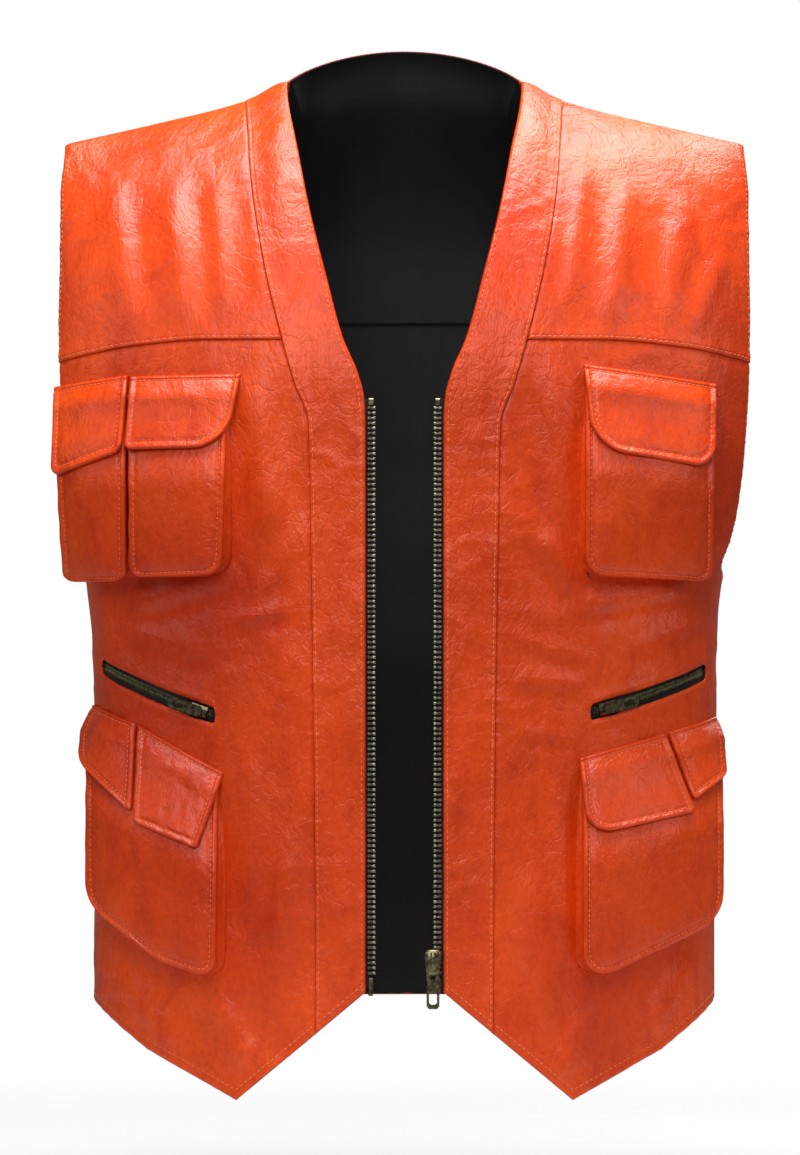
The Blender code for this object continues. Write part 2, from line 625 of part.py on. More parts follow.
def make_pockets(m):
    hinges = {}

    def flap(name, *args, **more):
        _, a, b = build_flap(name, *args, **more)
        hinges[name] = (a, b)

    # chest pocket on the wearer's left: one, wide
    top = lambda x: straight([(119, 189), (213, 202)], x)
    build_pocket("chest_pocket_left", 1, m, lambda d: 122, lambda d: 208,
                 lambda x: top(x) + MOUTH, lambda x: straight([(122, 327), (208, 331)], x))
    flap("chest_left", 1, m, 120, 211, top, lambda x: 55.0, r=16)

    # chest pockets on the wearer's right: two, side by side, the outer one at the armhole
    top = lambda x: straight([(109, 196), (183, 197)], x)
    build_pocket("chest_pocket_right_inner", -1, m, lambda d: 123, lambda d: 183,
                 lambda x: top(x) + MOUTH, lambda x: 327)
    flap("chest_right_inner", -1, m, 110, 184, top, lambda x: 49.0, r=20, corner=(1, 0))
    top = lambda x: straight([(186, 196), (238, 203)], x)
    build_pocket("chest_pocket_right_outer", -1, m, lambda d: 189,
                 lambda d: straight([(200, 235), (331, 222)], d), lambda x: top(x) + MOUTH,
                 lambda x: straight([(189, 333), (235, 328)], x), r=10)
    flap("chest_right_outer", -1, m, 187.5, 238, top,
         lambda x: straight([(187, 45), (238, 57)], x), r=10)

    # cargo pockets below the hand pockets, cut on a slant
    top = lambda x: straight([(117, 453), (178, 436), (222, 424)], x)
    build_pocket("cargo_pocket_left", 1, m, lambda d: 120, lambda d: 216,
                 lambda x: top(x) + MOUTH, lambda x: straight([(120, 602), (186, 577), (216, 556)], x))
    flap("cargo_left_inner", 1, m, 117, 176.5, top, lambda x: 52.0, r=8)
    flap("cargo_left_outer", 1, m, 180.5, 218, top, lambda x: 50.0, r=8)
    top = lambda x: straight([(121, 463), (180, 431), (224, 414)], x)
    build_pocket("cargo_pocket_right", -1, m, lambda d: 123, lambda d: 216,
                 lambda x: top(x) + MOUTH, lambda x: straight([(123, 602), (165, 589), (216, 552)], x))
    flap("cargo_right_inner", -1, m, 120, 179.5, top, lambda x: 56.0, r=8)
    flap("cargo_right_outer", -1, m, 183.5, 221, top, lambda x: 46.0, r=8)
    return hinges


def main():
    global collection, cutters
    for obj in list(bpy.data.objects):
        bpy.data.objects.remove(obj)
    collection = bpy.data.collections.new("blaze_orange_vest")
    cutters = bpy.data.collections.new("cutters")
    for c in (collection, cutters):
        bpy.context.scene.collection.children.link(c)
    cutters.hide_render = True
    m = {
        "leather": material("orange_leather", (0.67, 0.06, 0.012), 0.36),
        "lining": material("black_lining", (0.012, 0.010, 0.010), 0.7),
        "tape": material("black_zip_tape", (0.012, 0.012, 0.014), 0.8),
        "metal": material("antique_brass", (0.20, 0.17, 0.10), 0.42, 1.0),
    }
    build_back(m)
    for tag, side, ends in (("left", 1, HAND_ZIP[0]), ("right", -1, HAND_ZIP[1])):
        build_shoulder(tag, side, m)
        panel = build_front(tag, side, m)
        build_zip(tag, side, m)
        build_hand_zip(tag, side, ends, panel, m)
    build_zip_ends(m)
    build_front_slider(m)
    make_pockets(m)
    for obj in list(collection.objects) + list(cutters.objects):
        obj.location.z += NECK_LEVEL * MM


main()
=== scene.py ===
"""Looks of the blaze orange leather vest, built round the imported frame.

Sizes in the code are in millimetres; "drop" is a height counted downwards from a level line 8 mm
under the neck points, as in the CAD.  Left and right are the wearer's.
"""

import json
import math

import bmesh
import bpy
import numpy as np
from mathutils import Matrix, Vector

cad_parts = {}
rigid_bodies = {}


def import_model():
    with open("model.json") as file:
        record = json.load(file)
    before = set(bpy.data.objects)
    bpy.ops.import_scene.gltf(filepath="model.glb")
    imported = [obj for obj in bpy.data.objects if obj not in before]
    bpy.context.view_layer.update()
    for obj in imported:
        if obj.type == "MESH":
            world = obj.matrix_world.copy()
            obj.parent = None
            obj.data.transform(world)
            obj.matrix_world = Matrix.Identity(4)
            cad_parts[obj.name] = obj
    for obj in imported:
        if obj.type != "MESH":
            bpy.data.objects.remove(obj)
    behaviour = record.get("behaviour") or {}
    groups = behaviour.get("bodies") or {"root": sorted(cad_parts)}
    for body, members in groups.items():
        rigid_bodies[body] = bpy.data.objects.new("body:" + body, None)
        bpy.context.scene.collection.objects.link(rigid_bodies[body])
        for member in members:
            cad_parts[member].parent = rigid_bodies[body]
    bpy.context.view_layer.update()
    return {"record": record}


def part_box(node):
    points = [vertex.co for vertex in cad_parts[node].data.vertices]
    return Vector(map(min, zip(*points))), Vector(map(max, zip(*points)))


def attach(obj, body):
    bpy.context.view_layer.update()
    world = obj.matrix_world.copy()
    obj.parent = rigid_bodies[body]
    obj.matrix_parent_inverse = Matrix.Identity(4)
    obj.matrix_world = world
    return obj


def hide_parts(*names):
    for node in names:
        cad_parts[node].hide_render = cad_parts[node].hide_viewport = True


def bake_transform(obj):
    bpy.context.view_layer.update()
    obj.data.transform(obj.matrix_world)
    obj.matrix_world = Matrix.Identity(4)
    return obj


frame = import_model()
MM = 0.001
LEVEL = -8.0
SHELL, CLOTH = 1.7, 0.9          # thickness of the shell leather and of the lining cloth


# ---- the form, as in the CAD ---------------------------------------------------------------------
class Curve:
    """Monotone cubic through given points."""

    def __init__(self, *points):
        p = np.array(points, float)
        self.x, self.y = p[:, 0], p[:, 1]
        h, s = np.diff(self.x), np.diff(self.y) / np.diff(self.x)
        m = np.zeros(len(p))
        for i in range(1, len(p) - 1):
            if s[i - 1] * s[i] > 0:
                w1, w2 = 2 * h[i] + h[i - 1], h[i] + 2 * h[i - 1]
                m[i] = (w1 + w2) / (w1 / s[i - 1] + w2 / s[i])
        self.h, self.m = h, m

    def __call__(self, t):
        t = np.clip(np.asarray(t, float), self.x[0], self.x[-1])
        i = np.clip(np.searchsorted(self.x, t) - 1, 0, len(self.h) - 1)
        h, q = self.h[i], (t - self.x[i]) / self.h[i]
        return ((2 * q**3 - 3 * q**2 + 1) * self.y[i] + (q**3 - 2 * q**2 + q) * h * self.m[i]
                + (3 * q**2 - 2 * q**3) * self.y[i + 1] + (q**3 - q**2) * h * self.m[i + 1])


class Line(Curve):
    """Straight pieces between given points."""

    def __call__(self, t):
        return np.interp(t, self.x, self.y)


HALF_WIDTH = Curve((-40, 250), (240, 250), (287, 237), (310, 228), (335, 217), (380, 213), (450, 212),
                   (700, 212))
BACK_DEPTH = Curve((0, 108), (150, 112), (250, 112), (333, 105), (400, 98), (500, 102), (640, 110))
SHOULDER = Curve((0, -8), (80, -8), (108, 5), (170, 21), (232, 35), (260, 42))
NECK_EDGE = Curve((-8, 80), (47, 71), (87, 63), (127, 53), (172, 41), (193, 32), (212, 27), (230, 26),
                  (640, 26))
BAND_SEAM = Curve((-8, 110), (6, 108), (66, 103), (116, 95), (171, 82), (203, 73), (228, 64), (260, 63),
                  (640, 59))
YOKE_SEAM = Curve((0, 172), (135, 172), (185, 176), (227, 184), (250, 190))
ARMHOLE = Curve((32, 232), (73, 235), (150, 235), (207, 234), (260, 230), (287, 226), (310, 220),
                (326, 215.5))
FRONT_HEM = Line((20, 604), (26, 609), (113, 682), (175, 649), (200, 630), (213, 620))
BACK_HEM = Line((0, 623), (110, 623), (213, 620))
ARM_BOTTOM, BACK_YOKE = 335.0, 150.0
FRONT_DEPTH, CHEST, BLADE = 122.0, 212.0, 115.0
NECK_HALF, NECK_RISE, NECK_DEPTH = 80.0, 25.0, 64.0


def neck_top(x):
    x = np.abs(np.asarray(x, float))
    bow = LEVEL - NECK_RISE * np.maximum(1 - (x / NECK_HALF) ** 2, 0) ** 0.75
    return np.where(x < NECK_HALF, bow, SHOULDER(x))


def rise(q):
    q = np.clip(q, 0, 1)
    return (1 - (1 - q) ** 2) ** 0.85


def surface(phi, drop, back=False):
    a = HALF_WIDTH(drop)
    x = a * np.sin(phi)
    cos = np.maximum(1 - (x / a) ** 2, 0) ** 0.4
    if back:
        top = neck_top(x)
        q = (drop - top) / (BLADE - top)
        edge = NECK_DEPTH * np.maximum(1 - (x / NECK_HALF) ** 2, 0) ** 0.5
        edge = edge + (0.9 * NECK_DEPTH * np.exp(-(x / 70) ** 2) - edge) * ease(q / 0.35)
        y = edge + (BACK_DEPTH(drop) * cos - edge) * rise(q)
    else:
        top = SHOULDER(np.abs(x))
        y = -FRONT_DEPTH * cos * rise((drop - top) / (CHEST - top))
    return np.stack([x, y, LEVEL - drop], -1)


def unit(v):
    return v / np.maximum(np.linalg.norm(v, axis=-1, keepdims=True), 1e-9)


def normal(phi, drop, back=False):
    limit, step = math.radians(89.7), math.radians(0.4)
    p = np.clip(phi, -limit + step, limit - step)
    du = surface(p + step, drop, back) - surface(p - step, drop, back)
    dv = surface(p, drop + 1.5, back) - surface(p, drop - 0.5, back)
    return unit(np.cross(du, dv) if back else np.cross(dv, du))


def on_body(phi, drop, out=0.0, back=False):
    out = np.asarray(out, float)
    return surface(phi, drop, back) + normal(phi, drop, back) * (out[..., None] if out.ndim else out)


def phi_at(x, drop):
    return np.arcsin(np.clip(x / HALF_WIDTH(drop), -1, 1))


def phi_seen(x, drop, out):
    """Angle of the spot whose point `out` above the leather lies at half width x."""
    x, drop = np.broadcast_arrays(np.asarray(x, float), np.asarray(drop, float))
    low, high = np.zeros_like(x), np.full_like(x, math.radians(89))
    for _ in range(26):
        mid = (low + high) / 2
        inside = on_body(mid, drop, out)[..., 0] < x
        low, high = np.where(inside, mid, low), np.where(inside, high, mid)
    return low


def front_side(drop):
    drop = np.asarray(drop, float)
    arm = phi_at(ARMHOLE(drop), drop)
    start = phi_at(ARMHOLE(ARM_BOTTOM - 9), ARM_BOTTOM - 9)
    q = np.clip((drop - (ARM_BOTTOM - 9)) / 9, 0, 1)
    return np.where(drop < ARM_BOTTOM - 9, arm, start + (math.pi / 2 - start) * np.sin(q * math.pi / 2))


# ---- noise and folds -----------------------------------------------------------------------------
_perm = np.random.RandomState(11).permutation(256)
_perm = np.concatenate([_perm, _perm])
_grad = unit(np.random.RandomState(5).normal(size=(256, 3)))


def perlin(p):
    """Smooth 3D noise, about -0.7 to 0.7, with features one unit wide."""
    p = np.asarray(p, float)
    i = np.floor(p).astype(int)
    f = p - i
    u = f * f * f * (f * (f * 6 - 15) + 10)
    i &= 255
    total = 0.0
    for dx in (0, 1):
        for dy in (0, 1):
            for dz in (0, 1):
                h = _perm[_perm[_perm[(i[..., 0] + dx) & 255] + ((i[..., 1] + dy) & 255)]
                          + ((i[..., 2] + dz) & 255)]
                g = _grad[h]
                d = f - np.array([dx, dy, dz])
                w = (np.where(dx, u[..., 0], 1 - u[..., 0]) * np.where(dy, u[..., 1], 1 - u[..., 1])
                     * np.where(dz, u[..., 2], 1 - u[..., 2]))
                total = total + w * (g * d).sum(-1)
    return total


def ripple(*where):
    """Smooth noise at three coordinates, each an array or one number."""
    return perlin(np.stack(np.broadcast_arrays(*where), -1))


def ease(t):
    t = np.clip(t, 0, 1)
    return t * t * (3 - 2 * t)


def crease(x, d, a, b, width, height, lean=0.6):
    """Fold from a to b, (x, drop): a ridge with a valley beside it, fading at both ends."""
    ax, ad = a
    bx, bd = b
    length = math.hypot(bx - ax, bd - ad)
    ux, ud = (bx - ax) / length, (bd - ad) / length
    t = ((x - ax) * ux + (d - ad) * ud) / length
    s = ((x - ax) * -ud + (d - ad) * ux) / width
    fade = ease(t / 0.3 + 0.15) * ease((1 - t) / 0.3 + 0.15)
    return height * fade * (np.exp(-s * s) - lean * np.exp(-(s - 1.5) ** 2 / 1.3))


# ---- meshes --------------------------------------------------------------------------------------
def mesh_from(name, verts, faces, mat):
    """Smooth-shaded object; verts in millimetres."""
    mesh = bpy.data.meshes.new(name)
    mesh.from_pydata((np.asarray(verts) * MM).tolist(), [], faces)
    mesh.validate()
    mesh.shade_smooth()
    mesh.materials.append(mat)
    obj = bpy.data.objects.new(name, mesh)
    bpy.context.scene.collection.objects.link(obj)
    return obj


def grid_faces(rows, cols, start=0, flip=False):
    i = (np.arange(rows - 1)[:, None] * cols + np.arange(cols - 1)[None]).ravel() + start
    f = np.stack([i, i + 1, i + cols + 1, i + cols], -1)
    return (f[:, ::-1] if flip else f).tolist()


def weld(obj, dist=0.02):
    bm = bmesh.new()
    bm.from_mesh(obj.data)
    bmesh.ops.remove_doubles(bm, verts=bm.verts, dist=dist * MM)
    bm.to_mesh(obj.data)
    bm.free()


def outward(obj, sharp):
    """Faces turned outward, with edges sharper than the given degrees kept crisp."""
    bm = bmesh.new()
    bm.from_mesh(obj.data)
    bmesh.ops.recalc_face_normals(bm, faces=bm.faces)
    bm.to_mesh(obj.data)
    bm.free()
    obj.data.set_sharp_from_angle(angle=math.radians(sharp))


def thicken(obj, thick, edge=0.45, segments=2):
    """Thickness goes inward from the built surface; the rim is rounded."""
    solid = obj.modifiers.new("thickness", "SOLIDIFY")
    solid.thickness = thick * MM
    solid.offset = -1
    solid.bevel_convex = 1.0
    bevel = obj.modifiers.new("rim", "BEVEL")
    bevel.limit_method = "WEIGHT"
    bevel.width = edge * MM
    bevel.segments = segments
    return obj


def steps(n, edge=(), end=None):
    """0..1 positions: n even steps, plus extra ones at the given shares from both ends."""
    t = set(np.linspace(0, 1, n + 1).round(6))
    for e in edge:
        t.add(round(e, 6))
    for e in (edge if end is None else end):
        t.add(round(1 - e, 6))
    t = sorted(t)
    keep = [t[0]]
    for v in t[1:]:
        if v - keep[-1] > 1e-4:
            keep.append(v)
    keep[-1] = 1.0
    return np.array(keep)


class Sheet:
    """Patch of the form between four edges, with a height above the form at each grid point.

    inner(drop), outer(drop) are angles, or half widths if by_x; top(x), bottom(x) are drops.
    """

    def __init__(self, inner, outer, top, bottom, us, vs, by_x=False, back=False, side=1):
        u, v = np.meshgrid(us, vs)
        drop = top(100.0) + (bottom(100.0) - top(100.0)) * v
        for _ in range(14):
            place = inner(drop) + (outer(drop) - inner(drop)) * u
            x = place if by_x else HALF_WIDTH(drop) * np.sin(place)
            drop = top(np.abs(x)) + (bottom(np.abs(x)) - top(np.abs(x))) * v
        self.lay(us, vs, x, drop, phi_at(x, drop), back, side)

    def lay(self, us, vs, x, drop, phi, back, side):
        self.us, self.vs, self.side, self.back = us, vs, side, back
        self.u, self.v = np.meshgrid(us, vs)
        self.x, self.d, self.phi = x, drop, phi
        self.n = normal(phi, drop, back)
        self.base = surface(phi, drop, back)
        # distances to the four edges along the sheet, in mm
        du = np.linalg.norm(np.diff(self.base, axis=1), axis=-1)
        dv = np.linalg.norm(np.diff(self.base, axis=0), axis=-1)
        self.sl = np.concatenate([np.zeros((len(vs), 1)), np.cumsum(du, 1)], 1)
        self.st = np.concatenate([np.zeros((1, len(us))), np.cumsum(dv, 0)], 0)
        self.sr = self.sl[:, -1:] - self.sl
        self.sb = self.st[-1:] - self.st
        self.h = np.zeros_like(x)

    def points(self):
        return (self.base + self.n * self.h[..., None]) * np.array([self.side, 1, 1])

    def object(self, name, mat, thick=1.6, **more):
        p = self.points()
        rows, cols = p.shape[:2]
        faces = grid_faces(rows, cols, flip=(self.side > 0) != self.back)
        obj = mesh_from(name, p.reshape(-1, 3), faces, mat)
        return thicken(obj, thick, **more)

    def at(self, u, v):
        """Points and outward normals at (u, v) arrays."""
        p = self.points()
        n = self.n * np.array([self.side, 1, 1])
        fu = np.interp(u, self.us, np.arange(len(self.us)))
        fv = np.interp(v, self.vs, np.arange(len(self.vs)))
        i, j = np.minimum(fv.astype(int), len(self.vs) - 2), np.minimum(fu.astype(int), len(self.us) - 2)
        a, b = (fv - i)[:, None], (fu - j)[:, None]

        def mix(g):
            return ((g[i, j] * (1 - b) + g[i, j + 1] * b) * (1 - a)
                    + (g[i + 1, j] * (1 - b) + g[i + 1, j + 1] * b) * a)
        return mix(p), unit(mix(n))

    def seam(self, edge, inset, lo=0.0, hi=1.0, n=400):
        """Line at a fixed distance inside one edge: 'l', 'r', 't' or 'b'."""
        t = np.linspace(lo, hi, n)
        if edge in "lr":
            width = np.interp(t, self.vs, self.sl[:, -1])
            u = inset / width
            return self.at(u if edge == "l" else 1 - u, t)
        height = np.interp(t, self.us, self.st[-1])
        v = inset / height
        return self.at(t, v if edge == "t" else 1 - v)


def stitches(name, lines, mat, pitch=3.9, length=2.9, radius=0.33):
    """Thread lying in short stitches along lines of (points, normals)."""
    verts, faces = [], []
    for pts, nrm in lines:
        seg = np.linalg.norm(np.diff(pts, axis=0), axis=1)
        s = np.concatenate([[0], np.cumsum(seg)])
        count = int(s[-1] // pitch)
        if count < 1:
            continue
        mid = (np.arange(count) + 0.5) * s[-1] / count
        ends = [np.stack([np.interp(mid + o, s, pts[:, k]) for k in range(3)], -1)
                for o in (-length / 2, -length * .3, length * .3, length / 2)]
        up = unit(np.stack([np.interp(mid, s, nrm[:, k]) for k in range(3)], -1))
        along = unit(ends[3] - ends[0])
        across = unit(np.cross(along, up))
        for e, (r, lift) in zip(ends, ((0.25, -0.25), (1, 0.12), (1, 0.12), (0.25, -0.25))):
            ring = [e + up * lift * radius * 1.5 + across * radius * r,
                    e + up * (lift * 1.5 + r) * radius,
                    e + up * lift * radius * 1.5 - across * radius * r,
                    e + up * (lift * 1.5 - r) * radius]
            verts.append(np.stack(ring, 1))
        block = np.concatenate(verts[-4:], 1)          # count x 16 x 3
        verts[-4:] = [block.reshape(-1, 3)]
        base = sum(len(v) for v in verts[:-1])
        for k in range(count):
            o = base + k * 16
            for r in range(3):
                for q in range(4):
                    a, b = o + r * 4 + q, o + r * 4 + (q + 1) % 4
                    faces.append((a, b, b + 4, a + 4))
            faces.append((o + 3, o + 2, o + 1, o))
            faces.append((o + 12, o + 13, o + 14, o + 15))
    return mesh_from(name, np.concatenate(verts), faces, mat)


# ---- materials -----------------------------------------------------------------------------------
def shader(name):
    mat = bpy.data.materials.new(name)
    mat.use_nodes = True
    tree = mat.node_tree
    return mat, tree, tree.nodes["Principled BSDF"]


def node(tree, kind, **values):
    n = tree.nodes.new(kind)
    for key, value in values.items():
        if key in n.inputs:
            n.inputs[key].default_value = value
        else:
            setattr(n, key, value)
    return n


def ramp(tree, source, stops):
    r = tree.nodes.new("ShaderNodeValToRGB")
    r.color_ramp.elements[0].position, r.color_ramp.elements[0].color = stops[0]
    r.color_ramp.elements[1].position, r.color_ramp.elements[1].color = stops[-1]
    for position, colour in stops[1:-1]:
        e = r.color_ramp.elements.new(position)
        e.color = colour
    tree.links.new(source, r.inputs["Fac"])
    return r.outputs["Color"]


def object_space(tree):
    return node(tree, "ShaderNodeTexCoord").outputs["Object"]


def noise(tree, where, scale, detail=5.0, rough=0.6, warp=0.0, output="Fac"):
    n = node(tree, "ShaderNodeTexNoise", Scale=scale, Detail=detail, Roughness=rough, Distortion=warp)
    tree.links.new(where, n.inputs["Vector"])
    return n.outputs[output]


def glossiness(tree, shader_node, source, rough):
    spread = node(tree, "ShaderNodeMapRange")
    spread.inputs["To Min"].default_value, spread.inputs["To Max"].default_value = rough
    tree.links.new(source, spread.inputs["Value"])
    tree.links.new(spread.outputs[0], shader_node.inputs["Roughness"])


def bumps(tree, shader_node, *layers):
    """Stack of bumps, each (height, strength, distance)."""
    last = None
    for source, strength, distance in layers:
        bump = node(tree, "ShaderNodeBump", Strength=strength, Distance=distance)
        tree.links.new(source, bump.inputs["Height"])
        if last is not None:
            tree.links.new(last, bump.inputs["Normal"])
        last = bump.outputs[0]
    tree.links.new(last, shader_node.inputs["Normal"])


def leather(name, light, dark, rough):
    """Smooth finished hide: mottled dye, soft creases, fine wrinkles and pebbled grain."""
    mat, t, b = shader(name)
    link = t.links.new
    where = object_space(t)
    stretch = node(t, "ShaderNodeMapping")
    stretch.inputs["Scale"].default_value = (1.0, 1.0, 0.55)
    link(where, stretch.inputs["Vector"])
    hung = stretch.outputs[0]

    def shade(colour, source, low, stops):
        mix = node(t, "ShaderNodeMix", data_type="RGBA", blend_type="MULTIPLY")
        mix.inputs["Factor"].default_value = 1.0
        link(colour, mix.inputs["A"])
        link(ramp(t, source, [(stops[0], (*low, 1)), (stops[1], (1, 1, 1, 1))]), mix.inputs["B"])
        return mix.outputs["Result"]

    fine = noise(t, where, 260.0, 4.0, 0.65)
    broad = noise(t, hung, 30.0, 7.0, 0.64, 0.8)
    colour = ramp(t, noise(t, hung, 9.0, 4.0, 0.55, 0.3), [(0.32, (*dark, 1)), (0.64, (*light, 1))])
    colour = shade(colour, noise(t, hung, 46.0, 6.0, 0.7, 0.5), (0.84, 0.66, 0.55), (0.30, 0.50))
    colour = shade(colour, fine, (0.88, 0.80, 0.75), (0.32, 0.58))
    link(colour, b.inputs["Base Color"])
    glossiness(t, b, noise(t, hung, 38.0), rough)
    b.inputs["Specular IOR Level"].default_value = 0.42
    pebble = node(t, "ShaderNodeTexVoronoi", Scale=620.0, feature="SMOOTH_F1")
    pebble.inputs["Smoothness"].default_value = 0.6
    link(where, pebble.inputs["Vector"])
    push = node(t, "ShaderNodeVectorMath", operation="SCALE")
    push.inputs["Scale"].default_value = 0.03
    link(noise(t, where, 40.0, 3.0, 0.5, output="Color"), push.inputs[0])
    warp = node(t, "ShaderNodeVectorMath", operation="ADD")
    link(hung, warp.inputs[0])
    link(push.outputs[0], warp.inputs[1])
    veins = node(t, "ShaderNodeTexVoronoi", Scale=95.0, feature="DISTANCE_TO_EDGE")
    link(warp.outputs[0], veins.inputs["Vector"])
    groove = ramp(t, veins.outputs["Distance"], [(0.0, (0, 0, 0, 1)), (0.09, (1, 1, 1, 1))])
    bumps(t, b, (broad, 0.75, 0.0030), (noise(t, hung, 105.0, 5.0, 0.6, 0.4), 0.5, 0.0007),
          (groove, 0.30, 0.0004), (pebble.outputs["Distance"], 0.22, 0.0003), (fine, 0.3, 0.0003))
    return mat


def cloth(name, light, dark, rough, weave, sheen=0.1, bump=0.25):
    """Plain weave with soft unevenness."""
    mat, t, b = shader(name)
    where = object_space(t)
    cloud = noise(t, where, 9.0, 4.0, 0.5)
    t.links.new(ramp(t, cloud, [(0.35, (*dark, 1)), (0.65, (*light, 1))]), b.inputs["Base Color"])
    b.inputs["Roughness"].default_value = rough
    b.inputs["Specular IOR Level"].default_value = 0.3
    b.inputs["Sheen Weight"].default_value = sheen
    layers = []
    for axis in ("X", "Z"):
        wave = node(t, "ShaderNodeTexWave", Scale=weave, Distortion=0.4, bands_direction=axis)
        t.links.new(where, wave.inputs["Vector"])
        layers.append((wave.outputs["Fac"], bump, 0.0002))
    bumps(t, b, *layers, (noise(t, where, 24.0, 4.0, 0.5), 0.35, 0.0015))
    return mat


def metal(name, light, dark, rough):
    """Aged metal, bright and dull in small clouds."""
    mat, t, b = shader(name)
    cloud = noise(t, object_space(t), 420.0, 4.0, 0.5)
    t.links.new(ramp(t, cloud, [(0.35, (*dark, 1)), (0.62, (*light, 1))]), b.inputs["Base Color"])
    glossiness(t, b, cloud, rough)
    b.inputs["Metallic"].default_value = 1.0
    bumps(t, b, (cloud, 0.2, 0.0001))
    return mat


ORANGE = leather("orange_leather", (0.90, 0.084, 0.004), (0.62, 0.040, 0.002), (0.25, 0.40))
THREAD = cloth("orange_thread", (1.0, 0.26, 0.10), (0.90, 0.18, 0.06), 0.6, 900.0)
LINING = cloth("black_lining", (0.0050, 0.0036, 0.0039), (0.0028, 0.0020, 0.0023), 0.62, 700.0,
               sheen=0.02)
TAPE = cloth("black_zip_tape", (0.014, 0.014, 0.015), (0.008, 0.008, 0.009), 0.75, 420.0, bump=0.5)
BRASS = metal("antique_brass", (0.26, 0.23, 0.13), (0.09, 0.08, 0.045), (0.24, 0.40))
TEETH = metal("zip_teeth_metal", (0.40, 0.37, 0.26), (0.15, 0.14, 0.09), (0.26, 0.42))

TAG = {1: "left", -1: "right"}
SHEETS = []                     # (object, Sheet) of each cloth piece; their cut sizes are worked out at the end and not used further


def settle(obj, side, bends=None, replaces=()):
    """Fastens a piece to its front, or to the back for side 0.

    A piece marked to bend at the shoulder or at the side seam only has its transform baked in place; it is
    not fastened to any body, and nothing makes it bend.
    """
    body = f"front_{TAG[side]}" if side else "back"
    if bends == "shoulder":
        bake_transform(obj)
    elif bends == "seam":
        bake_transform(obj)
    else:
        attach(obj, body)
    if replaces:
        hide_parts(*replaces)


# ---- relief of the leather -----------------------------------------------------------------------
def base_relief(x, d, side, back=False):
    """Soft drape that every panel shares, so that neighbours meet."""
    h = 2.2 * ripple(x * side / 62.0, 7.3 if back else 1.7, d / 95.0)
    q = np.stack([x * side / 24.0, np.full_like(x, 3.1 + back), d / 46.0], -1)
    h += 0.95 * perlin(q) + 0.3 * perlin(q * 3.1)
    r = np.stack([x * side / 34.0 + d / 160.0, np.full_like(x, 8.8 + 2 * back), d / 21.0], -1)
    where = ease((perlin(r * 0.45 + 3.7) + 0.12) / 0.4)
    return h + 0.75 * where * (np.maximum(1 - 3.2 * np.abs(perlin(r)), 0) ** 1.6 - 0.3)


FOLDS = {
    1: [  # (from, to, width, height)
        ((150, 60), (138, 168), 9, 1.5), ((190, 70), (178, 172), 10, 1.4), ((122, 40), (112, 150), 7, 0.9),
        ((215, 110), (190, 175), 8, 1.2),
        ((97, 190), (112, 300), 11, 1.8), ((90, 300), (118, 345), 8, 1.6), ((112, 352), (196, 336), 7, 1.8),
        ((75, 372), (128, 388), 5, 0.8), ((70, 400), (122, 404), 6, 0.9), ((78, 436), (118, 440), 4, 0.6),
        ((104, 452), (108, 600), 7, 1.3), ((84, 520), (96, 640), 10, 1.3), ((128, 612), (104, 668), 9, 1.2),
        ((196, 585), (158, 645), 9, 1.3), ((150, 380), (205, 362), 6, 0.9)],
    -1: [
        ((158, 56), (146, 165), 9, 1.4), ((196, 60), (186, 168), 9, 1.3), ((128, 60), (120, 160), 8, 1.0),
        ((100, 196), (88, 310), 11, 1.8), ((112, 330), (190, 352), 8, 1.7), ((92, 322), (104, 372), 8, 1.2),
        ((72, 352), (118, 362), 5, 0.8), ((120, 384), (200, 366), 7, 1.0),
        ((100, 440), (104, 560), 8, 1.3), ((76, 500), (86, 620), 10, 1.4), ((126, 612), (100, 662), 9, 1.3),
        ((190, 600), (150, 650), 10, 1.4), ((205, 330), (196, 396), 7, 1.1)],
}


def front_relief(x, d, side):
    h = base_relief(x, d, side)
    for a, b, width, height in FOLDS[side]:
        h = h + 1.7 * crease(x, d, a, b, width, height)
    return h


def rolled(s, depth, reach):
    """Edge turning inward over its last few millimetres."""
    return -depth * np.clip(1 - s / reach, 0, 1) ** 2


def pucker(s, along, size=0.3, reach=6.0, wave=7.5):
    """Small waves that a seam draws into the leather beside it."""
    wob = ripple(along / 23.0, 0.0, s * 0)
    return size * np.exp(-s / reach) * np.sin(2 * math.pi * (along / wave + 1.2 * wob))


def seam_line(s, at=2.2, deep=0.28, wide=0.7):
    """Shallow groove that a row of stitches presses in."""
    return -deep * np.exp(-((s - at) / wide) ** 2)


# ---- shell: yokes, bands, panels -----------------------------------------------------------------
SHOULDER_TOP = 0.2


def shoulder_line(x):
    return SHOULDER(x) + SHOULDER_TOP


def flat(value):
    """Edge at the same value all along."""
    return lambda t: value + 0 * np.asarray(t, float)


def even_steps(length, cell, fine=(0.8, 1.8, 3.0, 4.5)):
    """0..1 positions about cell apart, closer at both ends; lengths in mm."""
    return steps(max(4, round(length / cell)), [f / length for f in fine])


